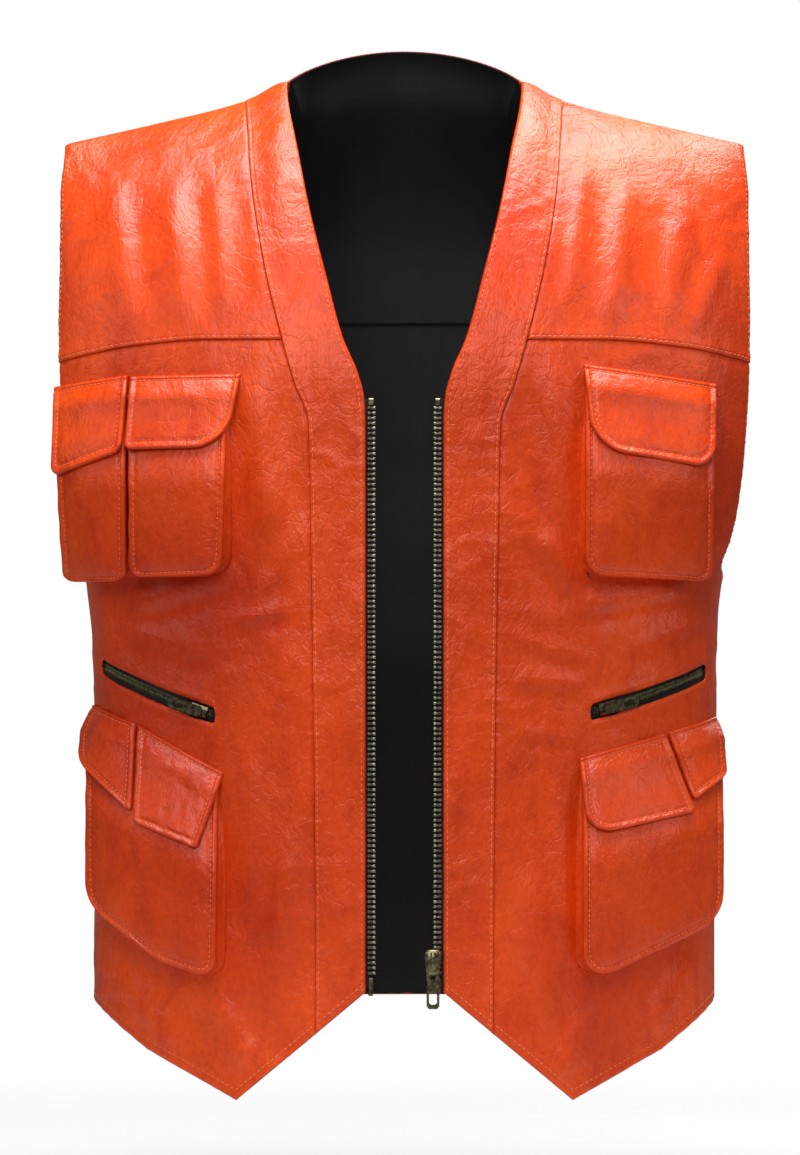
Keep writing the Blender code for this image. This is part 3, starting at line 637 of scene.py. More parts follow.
def build_back_shell():
    """Back yoke and the one-piece back below it."""
    us, vs = even_steps(464, 3.6), steps(44, [0.004, 0.01, 0.02, 0.035], [0.006, 0.012, 0.022]) ** 1.35
    yoke = Sheet(lambda d: -ARMHOLE(d), ARMHOLE, lambda x: neck_top(x) + SHOULDER_TOP,
                 flat(BACK_YOKE + 0.8), us, vs, by_x=True, back=True)
    yoke.h = base_relief(yoke.x, yoke.d, 1, True) * ease(yoke.st / 24)
    for x0, w in ((-150, 12), (-104, 10), (96, 11), (158, 12)):
        yoke.h += crease(yoke.x, yoke.d, (x0, 62), (x0 * 0.93, 146), w, 1.0)
    arm = np.minimum(yoke.sl, yoke.sr)
    yoke.h += rolled(arm, 1.3, 3.0) + seam_line(arm) + pucker(arm, yoke.d, 0.22)
    yoke.h += 1.0 * np.exp(-(yoke.sb / 9) ** 2) + rolled(yoke.sb, 0.9, 2.0) + seam_line(yoke.sb, 2.4)
    yoke.h += pucker(yoke.sb, yoke.x, 0.35) + rolled(yoke.st, 0.9, 2.5)
    obj = yoke.object("back_yoke_leather", ORANGE, SHELL)
    settle(obj, 0, replaces=["back_yoke"])
    lines = [yoke.seam("b", 2.4, 0.012, 0.988, 900)]
    lines += [yoke.seam(e, 2.2, 0.06, 0.98) for e in "lr"]
    middle = (np.abs(yoke.us - 0.5) * 464 < NECK_HALF - 2)
    lo, hi = yoke.us[middle][0], yoke.us[middle][-1]
    lines.append(yoke.seam("t", 2.6, lo, hi))

    us, vs = even_steps(680, 4.2), even_steps(472, 4.2)
    edge = lambda d: front_side(d) - math.radians(0.004)
    panel = Sheet(lambda d: -edge(d), edge, flat(BACK_YOKE - 2.2), BACK_HEM, us, vs, back=True)
    h = base_relief(panel.x, panel.d, 1, True) * ease(np.minimum(panel.sl, panel.sr) / 40 + 0.1)
    for a, b, w, k in (((-120, 175), (-96, 330), 16, 2.2), ((104, 170), (90, 345), 15, 2.0),
                       ((-30, 210), (-52, 420), 20, 1.6), ((40, 240), (66, 460), 20, 1.7),
                       ((-180, 372), (-70, 398), 12, 1.6), ((176, 366), (64, 402), 12, 1.6),
                       ((-168, 452), (-100, 560), 16, 1.8), ((150, 440), (110, 590), 16, 1.7)):
        h += crease(panel.x, panel.d, a, b, w, k)
    arm = np.where(panel.d < ARM_BOTTOM, np.minimum(panel.sl, panel.sr), 50)
    h += -1.3 * np.exp(-(panel.st / 4.5) ** 2) + pucker(panel.st, panel.x, 0.35)
    h += rolled(arm, 1.2, 3.0) + seam_line(arm) + rolled(panel.sb, 1.0, 2.5) + seam_line(panel.sb, 7.0)
    h += pucker(panel.sb, panel.x, 0.25)
    side = np.minimum(panel.sl, panel.sr)
    panel.h = h + np.where(panel.d > ARM_BOTTOM, rolled(side, 0.9, 2.2), 0)
    obj = panel.object("back_panel_leather", ORANGE, SHELL)
    settle(obj, 0, replaces=["back_panel"])
    lines.append(panel.seam("b", 7.0, 0.01, 0.99, 900))
    arm_end = 0.93 * (ARM_BOTTOM - BACK_YOKE) / 472        # the armhole's share of the panel's height
    lines += [panel.seam(e, 2.2, 0.01, arm_end) for e in "lr"]
    settle(stitches("back_stitching", lines, THREAD), 0)


def lining_side(d):
    """Side edge of the linings: short of the armhole, then right at the side seam."""
    return front_side(d) - 0.001 - 0.037 * ease((ARM_BOTTOM + 6 - d) / 26)


def build_back_lining():
    """Black lining, right up to the back neck edge, with the soft vertical folds of a hung cloth."""
    us, vs = even_steps(440, 4.0), steps(40, [0.01], [0.01]) ** 1.2
    yoke = Sheet(lambda d: -ARMHOLE(d) + 3, lambda d: ARMHOLE(d) - 3, lambda x: neck_top(x) + 0.1,
                 flat(BACK_YOKE + 6), us, vs, by_x=True, back=True)

    def folds(x, d):
        return 3.2 * ripple(x / 21.0, d / 330.0, 4.4) + 0.7 * ripple(x / 7.5 + d / 90.0, d / 120.0, 9.1)

    yoke.h = -1.4 - 6.6 * ease(yoke.st / 40) + np.minimum(folds(yoke.x, yoke.d), 2.2) * ease(yoke.st / 50)
    us, vs = even_steps(660, 4.2), even_steps(460, 5.0)
    low = Sheet(lambda d: -lining_side(d), lining_side, flat(BACK_YOKE - 6), lambda x: BACK_HEM(x) - 0.6,
                us, vs, back=True)
    low.h = (-7.2 + np.minimum(folds(low.x, low.d), 2.2) * ease(np.minimum(low.sl, low.sr) / 30)
             + 4.6 * np.exp(-(low.sb / 9) ** 2))
    for name, sheet, replaced in (("back_yoke_black_lining", yoke, "back_yoke_lining"),
                                  ("back_black_lining", low, "back_lining")):
        obj = sheet.object(name, LINING, CLOTH, edge=0.25)
        settle(obj, 0, replaces=[replaced])
        SHEETS.append((obj, sheet))


def cut_size(sheet):
    """Width and length that the cloth was cut to, and its area, in metres."""
    p = sheet.points()
    width = np.linalg.norm(np.diff(p, axis=1), axis=-1).sum(1).max()
    length = np.linalg.norm(np.diff(p, axis=0), axis=-1).sum(0).max()
    a = np.linalg.norm(np.cross(p[1:, :-1] - p[:-1, :-1], p[:-1, 1:] - p[:-1, :-1]), axis=-1)
    b = np.linalg.norm(np.cross(p[1:, :-1] - p[1:, 1:], p[:-1, 1:] - p[1:, 1:]), axis=-1)
    return (round(float(width) * MM, 3), round(float(length) * MM, 3)), float((a + b).sum() / 2) * MM * MM


def build_shoulder(side):
    """Front yoke, the band down the neck and front edge, and what lies behind them."""
    tag = TAG[side]
    us, vs = even_steps(150, 2.6), steps(58, [0.004, 0.01, 0.018, 0.03], [0.006, 0.012, 0.02, 0.03]) ** 1.3
    low = lambda x: YOKE_SEAM(x) + 0.9
    yoke = Sheet(lambda d: BAND_SEAM(d) - 1.5, ARMHOLE, shoulder_line, low, us, vs, by_x=True, side=side)
    h = front_relief(yoke.x, yoke.d, side) * ease(yoke.st / 22)
    h += rolled(yoke.sr, 1.4, 3.2) + seam_line(yoke.sr) + pucker(yoke.sr, yoke.d, 0.22)
    h += -1.3 * np.exp(-(yoke.sl / 3.0) ** 2) + pucker(yoke.sl, yoke.d, 0.22)
    h += 0.9 * np.exp(-(yoke.sb / 7) ** 2) + rolled(yoke.sb, 0.9, 1.8) + seam_line(yoke.sb, 2.8, 0.35)
    yoke.h = h + pucker(yoke.sb, yoke.x, 0.38) + rolled(yoke.st, 0.9, 2.5)
    obj = yoke.object(f"front_yoke_leather_{tag}", ORANGE, 1.5)
    settle(obj, side, bends="shoulder", replaces=[f"front_yoke_{tag}"])

    # one strip from the shoulder seam to the hem
    us = even_steps(34, 2.2, (0.8, 1.7, 2.6, 4.0))
    vs = steps(230, [0.0015, 0.004, 0.007, 0.012], [0.002, 0.004, 0.007])
    band = Sheet(NECK_EDGE, lambda d: BAND_SEAM(d) + 0.6, shoulder_line, FRONT_HEM, us, vs, by_x=True,
                 side=side)
    h = front_relief(band.x, band.d, side) * ease(band.st / 22)
    h += 0.55 * ripple(band.x / 60.0, band.d / 17.0, 2.2 + side) * ease((band.d - 190) / 60)
    h += 1.1 * np.exp(-(band.sr / 6) ** 2) + rolled(band.sr, 0.9, 1.6) + seam_line(band.sr, 2.6, 0.3)
    h += pucker(band.sr, band.d, 0.28) + pucker(band.sl, band.d, 0.22) + seam_line(band.sl, 3.2, 0.22)
    h += rolled(band.sl, 1.3, 2.6) + rolled(band.sb, 1.0, 2.4) + seam_line(band.sb, 7.0, 0.2)
    band.h = h + rolled(band.st, 0.9, 2.5)
    obj = band.object(f"front_band_leather_{tag}", ORANGE, SHELL)
    settle(obj, side, bends="shoulder", replaces=[f"neck_band_{tag}", f"front_band_{tag}"])

    lines = [yoke.seam("b", 2.8, 0.02, 0.985, 500), yoke.seam("r", 2.2, 0.07, 0.98)]
    lines += [band.seam("r", 2.6, 0.004, 0.997, 1200), band.seam("l", 3.2, 0.006, 0.997, 1200),
              band.seam("b", 7.0, 0.04, 0.96)]
    settle(stitches(f"shoulder_stitching_{tag}", lines, THREAD), side, bends="shoulder")

    # lining of the yoke and facing behind the band
    us, vs = even_steps(170, 5.0), steps(36) ** 1.3
    inside = Sheet(lambda d: NECK_EDGE(d) + 2.5, lambda d: ARMHOLE(d) - 4, lambda x: shoulder_line(x) + 3,
                   lambda x: YOKE_SEAM(x) - 1, us, vs, by_x=True, side=side)
    inside.h = -4.6 + 0.5 * ripple(inside.x / 20, inside.d / 90, 0.0)
    obj = inside.object(f"yoke_black_lining_{tag}", LINING, CLOTH, edge=0.25)
    settle(obj, side, bends="shoulder", replaces=[f"yoke_lining_{tag}"])
    SHEETS.append((obj, inside))
    us, vs = even_steps(34, 4.0), even_steps(420, 5.0)
    facing = Sheet(lambda d: NECK_EDGE(d) + 1.4, lambda d: BAND_SEAM(d) - 0.6,
                   lambda x: YOKE_SEAM(x) + 2, lambda x: FRONT_HEM(x) - 3, us, vs, by_x=True, side=side)
    facing.h = facing.h - 4.4
    obj = facing.object(f"front_facing_leather_{tag}", ORANGE, 1.0)
    settle(obj, side, replaces=[f"front_facing_{tag}"])


# ---- hand pocket zips ----------------------------------------------------------------------------
HAND_ZIP = {1: ((130, 421), (202, 397)), -1: ((132, 423), (203, 394))}


class Arc:
    """Circle just under the leather, along which the hand pocket zip runs."""

    def __init__(self, side):
        (x0, d0), (x1, d1) = HAND_ZIP[side]
        pts = [on_body(phi_at(np.array(x), np.array(d)), np.array(d, float), -2.0) for x, d in
               ((x0, d0), (x1, d1))]
        phi = (phi_at(x0, d0) + phi_at(x1, d1)) / 2
        out = normal(phi, np.array((d0 + d1) / 2))
        mid = on_body(phi, np.array((d0 + d1) / 2), -2.0)
        plane = np.cross(pts[1] - pts[0], out)
        mid[2] = pts[0][2] - (plane[0] * (mid[0] - pts[0][0]) + plane[1] * (mid[1] - pts[0][1])) / plane[2]
        flip = np.array([side, 1, 1])
        p, q, r = pts[0] * flip, mid * flip, pts[1] * flip
        a, b = q - p, r - p
        axis = np.cross(a, b)
        to = (np.cross(axis, a) * b.dot(b) + np.cross(b, axis) * a.dot(a)) / (2 * axis.dot(axis))
        self.side, self.centre, self.axis = side, p + to, unit(axis)
        self.radius, self.start = np.linalg.norm(to), unit(p - self.centre)
        end = unit(r - self.centre)
        self.turn = 1 if np.cross(self.start, end).dot(self.axis) > 0 else -1
        self.sweep = self.turn * math.acos(np.clip(self.start.dot(end), -1, 1))
        self.more = self.turn * 5.5 / self.radius

    def at(self, angle, across=0.0, out=0.0):
        """Points at the given angles, moved across (up) and out from the circle; angles may be arrays."""
        angle, across, out = np.broadcast_arrays(*[np.asarray(v, float) for v in (angle, across, out)])
        c, s = np.cos(angle)[..., None], np.sin(angle)[..., None]
        ray = self.start * c + np.cross(self.axis, self.start) * s
        up = self.axis * (1 if self.axis[2] > 0 else -1)
        return self.centre + ray * (self.radius + out[..., None]) + up * across[..., None]

    def line(self):
        """Half width and drop of the slit's middle, inner end first."""
        p = self.at(np.linspace(-self.more, self.sweep + self.more, 60), 0, 2.0)
        return np.abs(p[:, 0]), LEVEL - p[:, 2]


SLIT_HALF = 5.3


def build_panel(side):
    """Front panel in one piece, cut for the hand pocket zip."""
    tag = TAG[side]
    arc = Arc(side)
    sx, sd = arc.line()
    order = np.argsort(sx)
    sx, sd = sx[order], sd[order]

    def slit(x):
        d = np.interp(x, sx, sd)
        d = np.where(x < sx[0], sd[0] - (sx[0] - x) * 0.10, d)
        return np.where(x > sx[-1], sd[-1] + (x - sx[-1]) * (sd[-1] - sd[-6]) / (sx[-1] - sx[-6]), d)

    def gap(x):
        e = np.minimum(x - sx[0], sx[-1] - x)
        k = np.clip(e / 2.2, 0, 1)
        return SLIT_HALF * np.sqrt(np.maximum(1 - (1 - k) ** 2, 0))

    seam = lambda d: phi_at(BAND_SEAM(d) - 1.2, d)
    edge = lambda d: front_side(d) - math.radians(0.004)
    top = lambda x: YOKE_SEAM(x) - 2.4
    us = set(steps(62, [0.006, 0.013, 0.022], [0.004, 0.010, 0.018]))
    for x0, way in ((sx[0], 1), (sx[-1], -1)):
        d0 = slit(np.array(x0))
        for shift in (-1.5, 0.0, 0.35, 0.9, 1.6, 2.3):
            place = phi_at(x0 + way * shift, d0)
            us.add(float((place - seam(d0)) / (edge(d0) - seam(d0))))
    point = (phi_at(113.0, 670) - seam(670)) / (edge(670) - seam(670))
    us.add(float(point))
    us = np.array(sorted(us))
    us = us[np.concatenate([[True], np.diff(us) > 0.0006])]
    high = Sheet(seam, edge, top, lambda x: slit(x) - gap(x), us,
                 steps(62, [0.005, 0.012, 0.02, 0.03], [0.004, 0.010, 0.018]), side=side)
    low = Sheet(seam, edge, lambda x: slit(x) + gap(x), FRONT_HEM, us,
                steps(72, [0.004, 0.009, 0.016], [0.004, 0.009, 0.016]), side=side)
    verts, faces = [], []
    for grid, upper in ((high, True), (low, False)):
        x, d = grid.x, grid.d
        h = front_relief(x, d, side)
        arm = np.where(d < ARM_BOTTOM - 4, grid.sr, 60)
        h += rolled(arm, 1.3, 3.0) + seam_line(arm) + pucker(arm, d, 0.22)
        h += np.where(d > ARM_BOTTOM, rolled(grid.sr, 0.8, 2.0), 0)
        h += -1.4 * np.exp(-(grid.sl / 3.0) ** 2) + pucker(grid.sl, d, 0.3)
        inside = ease((x - sx[0]) / 5 + 0.4) * ease((sx[-1] - x) / 5 + 0.4)
        lip = np.abs(d - slit(x)) - gap(x)
        h += inside * (0.5 * np.exp(-((lip - 3.2) / 2.6) ** 2) - 0.9 * np.clip(1 - lip / 2.2, 0, 1) ** 2)
        h += inside * pucker(np.abs(lip), x, 0.18, 8)
        if upper:
            h += -1.5 * np.exp(-(grid.st / 4.2) ** 2) + pucker(grid.st, x, 0.4)
        else:
            h += rolled(grid.sb, 1.0, 2.4) + seam_line(grid.sb, 7.0, 0.2) + pucker(grid.sb, x, 0.22)
        grid.h = h
        p = grid.points()
        rows, cols = p.shape[:2]
        faces += grid_faces(rows, cols, start=len(verts), flip=side > 0)
        verts += p.reshape(-1, 3).tolist()
    obj = mesh_from(f"front_panel_leather_{tag}", verts, faces, ORANGE)
    weld(obj)
    thicken(obj, SHELL)
    settle(obj, side, bends="seam", replaces=[f"front_panel_{tag}"])
    n = 1200
    lines = [low.seam("b", 7.0, 0.01, 0.985, n)]
    k = (ARM_BOTTOM - 14 - 172) / (slit(np.array(215.0)) - 172)
    lines.append(high.seam("r", 2.2, 0.012, float(k)))
    settle(stitches(f"panel_stitching_{tag}", lines, THREAD), side)

    # lining behind it, bulging inward round the pocket bag
    us, vs = even_steps(185, 6.0), even_steps(480, 8.0)
    inner = lambda d: phi_at(BAND_SEAM(d) - 1.0, d)
    lining = Sheet(inner, lining_side, lambda x: YOKE_SEAM(x) + 3,
                   lambda x: FRONT_HEM(x) - 7, us, vs, side=side)
    bulge = np.minimum(np.minimum(lining.sl, lining.sr), np.minimum(lining.st, lining.sb))
    lining.h = -4.6 - 12.0 * ease(bulge / 34)
    lining.h += ripple(lining.x / 22, lining.d / 110, 3.0)
    obj = lining.object(f"front_black_lining_{tag}", LINING, CLOTH, edge=0.25)
    settle(obj, side, bends="seam", replaces=[f"front_lining_{tag}"])
    SHEETS.append((obj, lining))

    # pocket bag hanging behind the slit
    bag_top = Line((100, 405), (210, 370))
    us, vs = even_steps(115, 7.0), even_steps(150, 7.0)
    bag = Sheet(flat(phi_at(104.0, 450.0)), flat(phi_at(210.0, 450.0)), bag_top,
                lambda x: bag_top(x) + 150, us, vs, side=side)
    rim = np.minimum(np.minimum(bag.u * 10, (1 - bag.u) * 8), np.minimum(bag.v * 16, (1 - bag.v) * 12))
    bag.h = -2.6 - 8.0 * ease(rim)
    obj = bag.object(f"hand_pocket_black_bag_{tag}", LINING, CLOTH, edge=0.25)
    settle(obj, side, replaces=[f"hand_pocket_bag_{tag}"])
    SHEETS.append((obj, bag))
    return arc


build_back_shell()
build_back_lining()
arcs = {}
for side in (1, -1):
    build_shoulder(side)
    arcs[side] = build_panel(side)


# ---- pockets and flaps ---------------------------------------------------------------------------
MOUTH = 13.0                    # drop of a pocket's mouth below its flap's seam
RIM_STEPS = (0.7, 1.5, 2.4, 3.4, 4.6)
POCKET_STITCH = {"pitch": 3.4, "length": 2.5}


def pocket_depth(run):
    """Height of the face above the leather, by distance below the mouth: shallow, then full."""
    return 6.0 + 15.0 * ease(run / 62.0)


def corner_cut(k, r):
    return np.where(k >= r, 0.0, r - np.sqrt(np.maximum(r * r - (r - np.minimum(k, r)) ** 2, 0)))


class Patch(Sheet):
    """Pocket face or flap seen from the front between left(d), right(d), top(x) and bottom(x)."""

    def __init__(self, left, right, top, bottom, us, vs, side, radius, level):
        self.left, self.right, self.top, self.low, self.radius = left, right, top, bottom, radius
        u, v = np.meshgrid(us, vs)
        d = np.full_like(u, 300.0)
        for _ in range(14):
            x = left(d) + (right(d) - left(d)) * u
            d = top(x) + (bottom(x) - self.cut(x, d) - top(x)) * v
        out = level(x, d)
        self.lay(us, vs, x, d, phi_seen(x, d, out), False, side)
        self.h = out + 0 * x

    def cut(self, x, d):
        return (corner_cut(np.maximum(x - self.left(d), 0), self.radius[0])
                + corner_cut(np.maximum(self.right(d) - x, 0), self.radius[1]))

    def rim(self):
        """Distance from each point to the sides and the rounded bottom."""
        best = self.low(self.x) - self.d
        for k, r in zip((self.x - self.left(self.d), self.right(self.d) - self.x), self.radius):
            kb = self.low(self.x) - self.d
            inside = (k < r) & (kb < r)
            round_ = r - np.hypot(r - np.minimum(k, r), r - np.minimum(kb, r))
            best = np.minimum(best, np.where(inside, round_, k))
        return np.maximum(best, 0)

    def border(self, spacing=None):
        """Even steps down one side, round the bottom and up the other: length, x, drop, side direction."""
        x = np.concatenate([self.x[:, 0], self.x[-1, 1:-1], self.x[::-1, -1]])
        d = np.concatenate([self.d[:, 0], self.d[-1, 1:-1], self.d[::-1, -1]])
        s = np.concatenate([[0], np.cumsum(np.hypot(np.diff(x), np.diff(d)))])
        t = np.linspace(0, s[-1], int(s[-1] / spacing) if spacing else 700)
        x, d = np.interp(t, s, x), np.interp(t, s, d)
        tx, td = np.gradient(x), np.gradient(d)
        size = np.hypot(tx, td)
        return t, x, d, td / size, -tx / size

    def outline(self, inset, from_top):
        """Stitch line inside the border."""
        _, x, d, nx, nd = self.border()
        x, d = x + nx * inset, d + nd * inset
        keep = d > self.top(x) + from_top
        x, d = x[keep], d[keep]
        u = (x - self.left(d)) / (self.right(d) - self.left(d))
        v = (d - self.top(x)) / (self.low(x) - self.cut(x, d) - self.top(x))
        return self.at(np.clip(u, 0, 1), np.clip(v, 0, 1))


def build_pocket(name, side, left, right, flap_top, bottom, radius):
    """Puffed face, its bellows gusset and the stitching round the face."""
    top = lambda x: flap_top(x) + MOUTH
    width = float(right(300.0) - left(300.0))
    us, vs = even_steps(width, 2.6, (*RIM_STEPS, 6.0)), even_steps(125, 2.6, RIM_STEPS)
    face = Patch(left, right, top, bottom, us, vs, side, radius, lambda x, d: pocket_depth(d - top(x)))
    e = face.rim()
    soft = ripple(face.x * side / 26, face.d / 30, 5.5)
    fine = ripple(face.x * side / 9, face.d / 11, 8.5)
    puff = ease((face.st - 22) / 30)
    h = rolled(e, 2.4, 1.6) + 0.7 * np.exp(-((e - 2.2) / 1.4) ** 2) - 0.75 * np.exp(-((e - 4.6) / 1.5) ** 2)
    h += (1.0 + 2.2 * puff) * (1 - np.exp(-np.maximum(e - 4.6, 0) / 14))
    h += (1.1 * soft + 0.35 * fine) * ease(e / 10) + pucker(np.abs(e - 4.6), face.x + face.d, 0.28, 5, 6.5)
    face.h = face.h + h
    obj = face.object(f"{name}_leather_face", ORANGE, 1.6)
    settle(obj, side, replaces=[f"{name}_face"])

    # bellows gusset along the same outline
    t, x, d, nx, nd = face.border(2.6)
    deep = pocket_depth(np.maximum(d - face.top(x), 0)) - 0.6
    rows = []
    for q in np.linspace(0, 1, 12):
        fold = 3.4 * math.sin(math.pi * q) ** 1.4 + 0.5
        wave = fold + 0.9 * ripple(t / 14, q * 1.7, side * 2.0)
        wave = wave - 1.4 * max(0, 1 - q / 0.12) ** 2      # tucked under at the base
        xx, dd = x + nx * wave, d + nd * wave
        rows.append(on_body(phi_seen(xx, dd, deep), dd, -0.4 + (deep + 0.4) * q))
    rows = np.array(rows) * np.array([side, 1, 1])
    gusset = mesh_from(f"{name}_leather_gusset", rows.reshape(-1, 3),
                       grid_faces(rows.shape[0], rows.shape[1], flip=side < 0), ORANGE)
    thicken(gusset, 1.2)
    settle(gusset, side, replaces=[f"{name}_gusset"])
    settle(stitches(f"{name}_stitching", [face.outline(3.9, 2)], THREAD, **POCKET_STITCH), side)


def build_flap(name, side, left, right, top, height, radius, crumple=0.0):
    """Flap sewn down along its top, lying over the pocket; it is left in place with its transform baked in,
    and the hinge read from its joint is not used.
    """
    bottom = lambda x: top(x) + height(x)
    mid = 250.0 if name.startswith("chest") else 470.0
    width = float(right(mid) - left(mid))
    us, vs = even_steps(width, 2.2, RIM_STEPS), even_steps(50, 2.0, RIM_STEPS)

    def level(x, d):
        run = d - top(x)
        return 2.4 + (pocket_depth(np.maximum(run - MOUTH, 0)) + 1.6) * ease(run / 17)
    flap = Patch(left, right, top, bottom, us, vs, side, radius, level)
    e = flap.rim()
    soft = ripple(flap.x * side / 22, flap.d / 17, 3.3)
    fine = ripple(flap.x * side / 7, flap.d / 7, 6.6)
    rough = ripple(flap.x * side / 3.6, flap.d / 3.6, 1.6)
    h = rolled(e, 2.0, 1.5) + 0.6 * np.exp(-((e - 2.4) / 1.6) ** 2) - 0.65 * np.exp(-((e - 5.0) / 1.5) ** 2)
    h += 1.0 * (1 - np.exp(-np.maximum(e - 5, 0) / 9)) + 1.6 * ((flap.d - top(flap.x)) / height(flap.x)) ** 3
    h += -0.6 * np.exp(-((flap.st - 3.2) / 1.2) ** 2) - 1.4 * np.clip(1 - flap.st / 1.8, 0, 1) ** 2
    h += (0.9 * soft + 0.3 * fine + crumple * (0.5 * rough + 0.5 * fine)) * ease(e / 8)
    h += pucker(np.abs(e - 5), flap.x + flap.d, 0.22, 4, 6.0) * ease(flap.st / 8)
    flap.h = flap.h + h
    obj = flap.object(f"{name}_leather_flap", ORANGE, 2.0, edge=0.7, segments=3)
    thread = stitches(f"{name}_flap_stitching", [flap.outline(4.2, 4), flap.seam("t", 3.2, 0.04, 0.96)],
                      THREAD, **POCKET_STITCH)
    joint = next(j for j in frame["record"]["behaviour"]["joints"] if j["child"] == f"{name}_flap")
    hinge, axis = np.array(joint["pos_m"]), unit(np.array(joint["axis"]))
    p, _ = flap.at(np.array([0.5]), np.array([0.9]))
    down = p[0] * MM - hinge
    down = unit(down - axis * down.dot(axis))
    for piece in (obj, thread):
        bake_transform(piece)
    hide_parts(f"{name}_flap")


def build_pockets():
    slope = lambda x0, d0, k: (lambda d: x0 + (np.asarray(d, float) - d0) * k)

    top = Line((119, 189), (213, 202))
    build_pocket("chest_pocket_left", 1, flat(121), flat(208.5), top, Line((122, 330), (208, 332)), (14, 13))
    build_flap("chest_left", 1, slope(120, 190, 0.10), slope(211.5, 202, -0.04), top, flat(56), (22, 16))

    top = Line((109, 196), (183, 197))
    build_pocket("chest_pocket_right_inner", -1, slope(118.5, 212, 0.03), flat(185.4), top, flat(330),
                 (13, 11))
    build_flap("chest_right_inner", -1, slope(109.5, 196, 0.20), slope(185.2, 197, 0.06), top, flat(49),
               (22, 5))

    top = Line((186, 196), (238, 203))
    build_pocket("chest_pocket_right_outer", -1, flat(187.2), Line((200, 235.5), (260, 235), (331, 231.5)),
                 top, Line((189, 333), (235, 329)), (10, 10))
    build_flap("chest_right_outer", -1, slope(186.2, 196, 0.065), flat(238.5), top,
               Line((187, 50), (238, 58)), (6, 8))

    top = Line((117, 453), (178, 436), (222, 424))
    build_pocket("cargo_pocket_left", 1, flat(119.5), flat(216), top,
                 Line((120, 602), (142, 595), (205, 567), (216, 558)), (20, 12))
    build_flap("cargo_left_inner", 1, slope(117, 452, 0.10), slope(177.2, 437, 0.36), top,
               Line((120, 53), (190, 58)), (19, 4))
    build_flap("cargo_left_outer", 1, slope(178.4, 437, 0.36), Line((425, 213), (431, 215.5), (441, 218.5)),
               top, Line((196, 50), (212, 43), (222, 40)), (3, 6))

    top = Line((121, 463), (180, 431), (224, 414))
    build_pocket("cargo_pocket_right", -1, slope(125, 480, 0.012), flat(216), top,
                 Line((123, 602), (165, 589), (216, 552)), (14, 12))
    build_flap("cargo_right_inner", -1, slope(121, 462, 0.34), slope(181.0, 431, 0.02), top,
               Line((121, 56), (138, 60), (179, 66)), (4, 5), crumple=1.0)
    build_flap("cargo_right_outer", -1, slope(181.8, 430, 0.02), Line((418, 213), (425, 216.5), (436, 221.5)),
               top, Line((180, 62), (224, 40)), (4, 8))


build_pockets()


# ---- zips ----------------------------------------------------------------------------------------
ZIP_MID_Y, ZIP_TOP, ZIP_BOTTOM = -118.8, 217.0, 599.0
PITCH, COIL_PITCH = 3.4, 1.35    # of the front zip's teeth and of the hand pocket coils


def ring_bar(rings):
    """Closed solid through rings of points (n_rings x n x 3)."""
    r, n = rings.shape[:2]
    faces = [(i * n + k, i * n + (k + 1) % n, (i + 1) * n + (k + 1) % n, (i + 1) * n + k)
             for i in range(r - 1) for k in range(n)]
    faces += [tuple(range(n))[::-1], tuple((r - 1) * n + k for k in range(n))]
    return rings.reshape(-1, 3), faces


def join(parts):
    verts, faces = [], []
    for v, f in parts:
        base = sum(len(p) for p in verts)
        verts.append(np.asarray(v, float))
        faces += [tuple(base + i for i in face) for face in f]
    return np.concatenate(verts), faces


def tooth(side):
    """One cast tooth: narrow waist behind a rounded head, gripping the tape's cord."""
    rings = []
    for x, w, t in ((24.9, 0.75, 1.25), (24.5, 1.15, 1.75), (23.0, 1.15, 1.75), (22.2, 0.85, 1.45),
                    (21.2, 0.85, 1.4), (20.6, 1.15, 1.5), (19.6, 1.1, 1.45), (19.2, 0.6, 1.0)):
        ring = [(x, t * 0.6, w), (x, t, w * 0.55), (x, t, -w * 0.55), (x, t * 0.6, -w),
                (x, -t * 0.6, -w), (x, -t, -w * 0.55), (x, -t, w * 0.55), (x, -t * 0.6, w)]
        rings.append([(px * side, py, pz) for px, py, pz in ring])
    return ring_bar(np.array(rings))


def build_front_zip(side):
    """Row of cast teeth and its tape."""
    tag = TAG[side]
    verts, faces = tooth(side)
    parts, drop = [], ZIP_TOP + 1.7
    while drop < ZIP_BOTTOM:
        parts.append((verts + np.array([0, ZIP_MID_Y, LEVEL - drop]), faces))
        drop += PITCH
    obj = mesh_from(f"zip_metal_teeth_{tag}", *join(parts), TEETH)
    obj.data.set_sharp_from_angle(angle=math.radians(50))
    settle(obj, side, replaces=[f"zip_teeth_{tag}"])

    us, vs = np.linspace(0, 1, 12), even_steps(394, 4.0)
    tape = Sheet(flat(23.2), flat(44.0), flat(ZIP_TOP - 4), flat(ZIP_BOTTOM + 6), us, vs, by_x=True,
                 side=side)
    tape.h = -2.9 + 0.35 * np.exp(-((tape.x - 24.6) / 0.9) ** 2)
    obj = tape.object(f"zip_black_tape_{tag}", TAPE, 0.8, edge=0.2)
    settle(obj, side, replaces=[f"zip_tape_{tag}"])


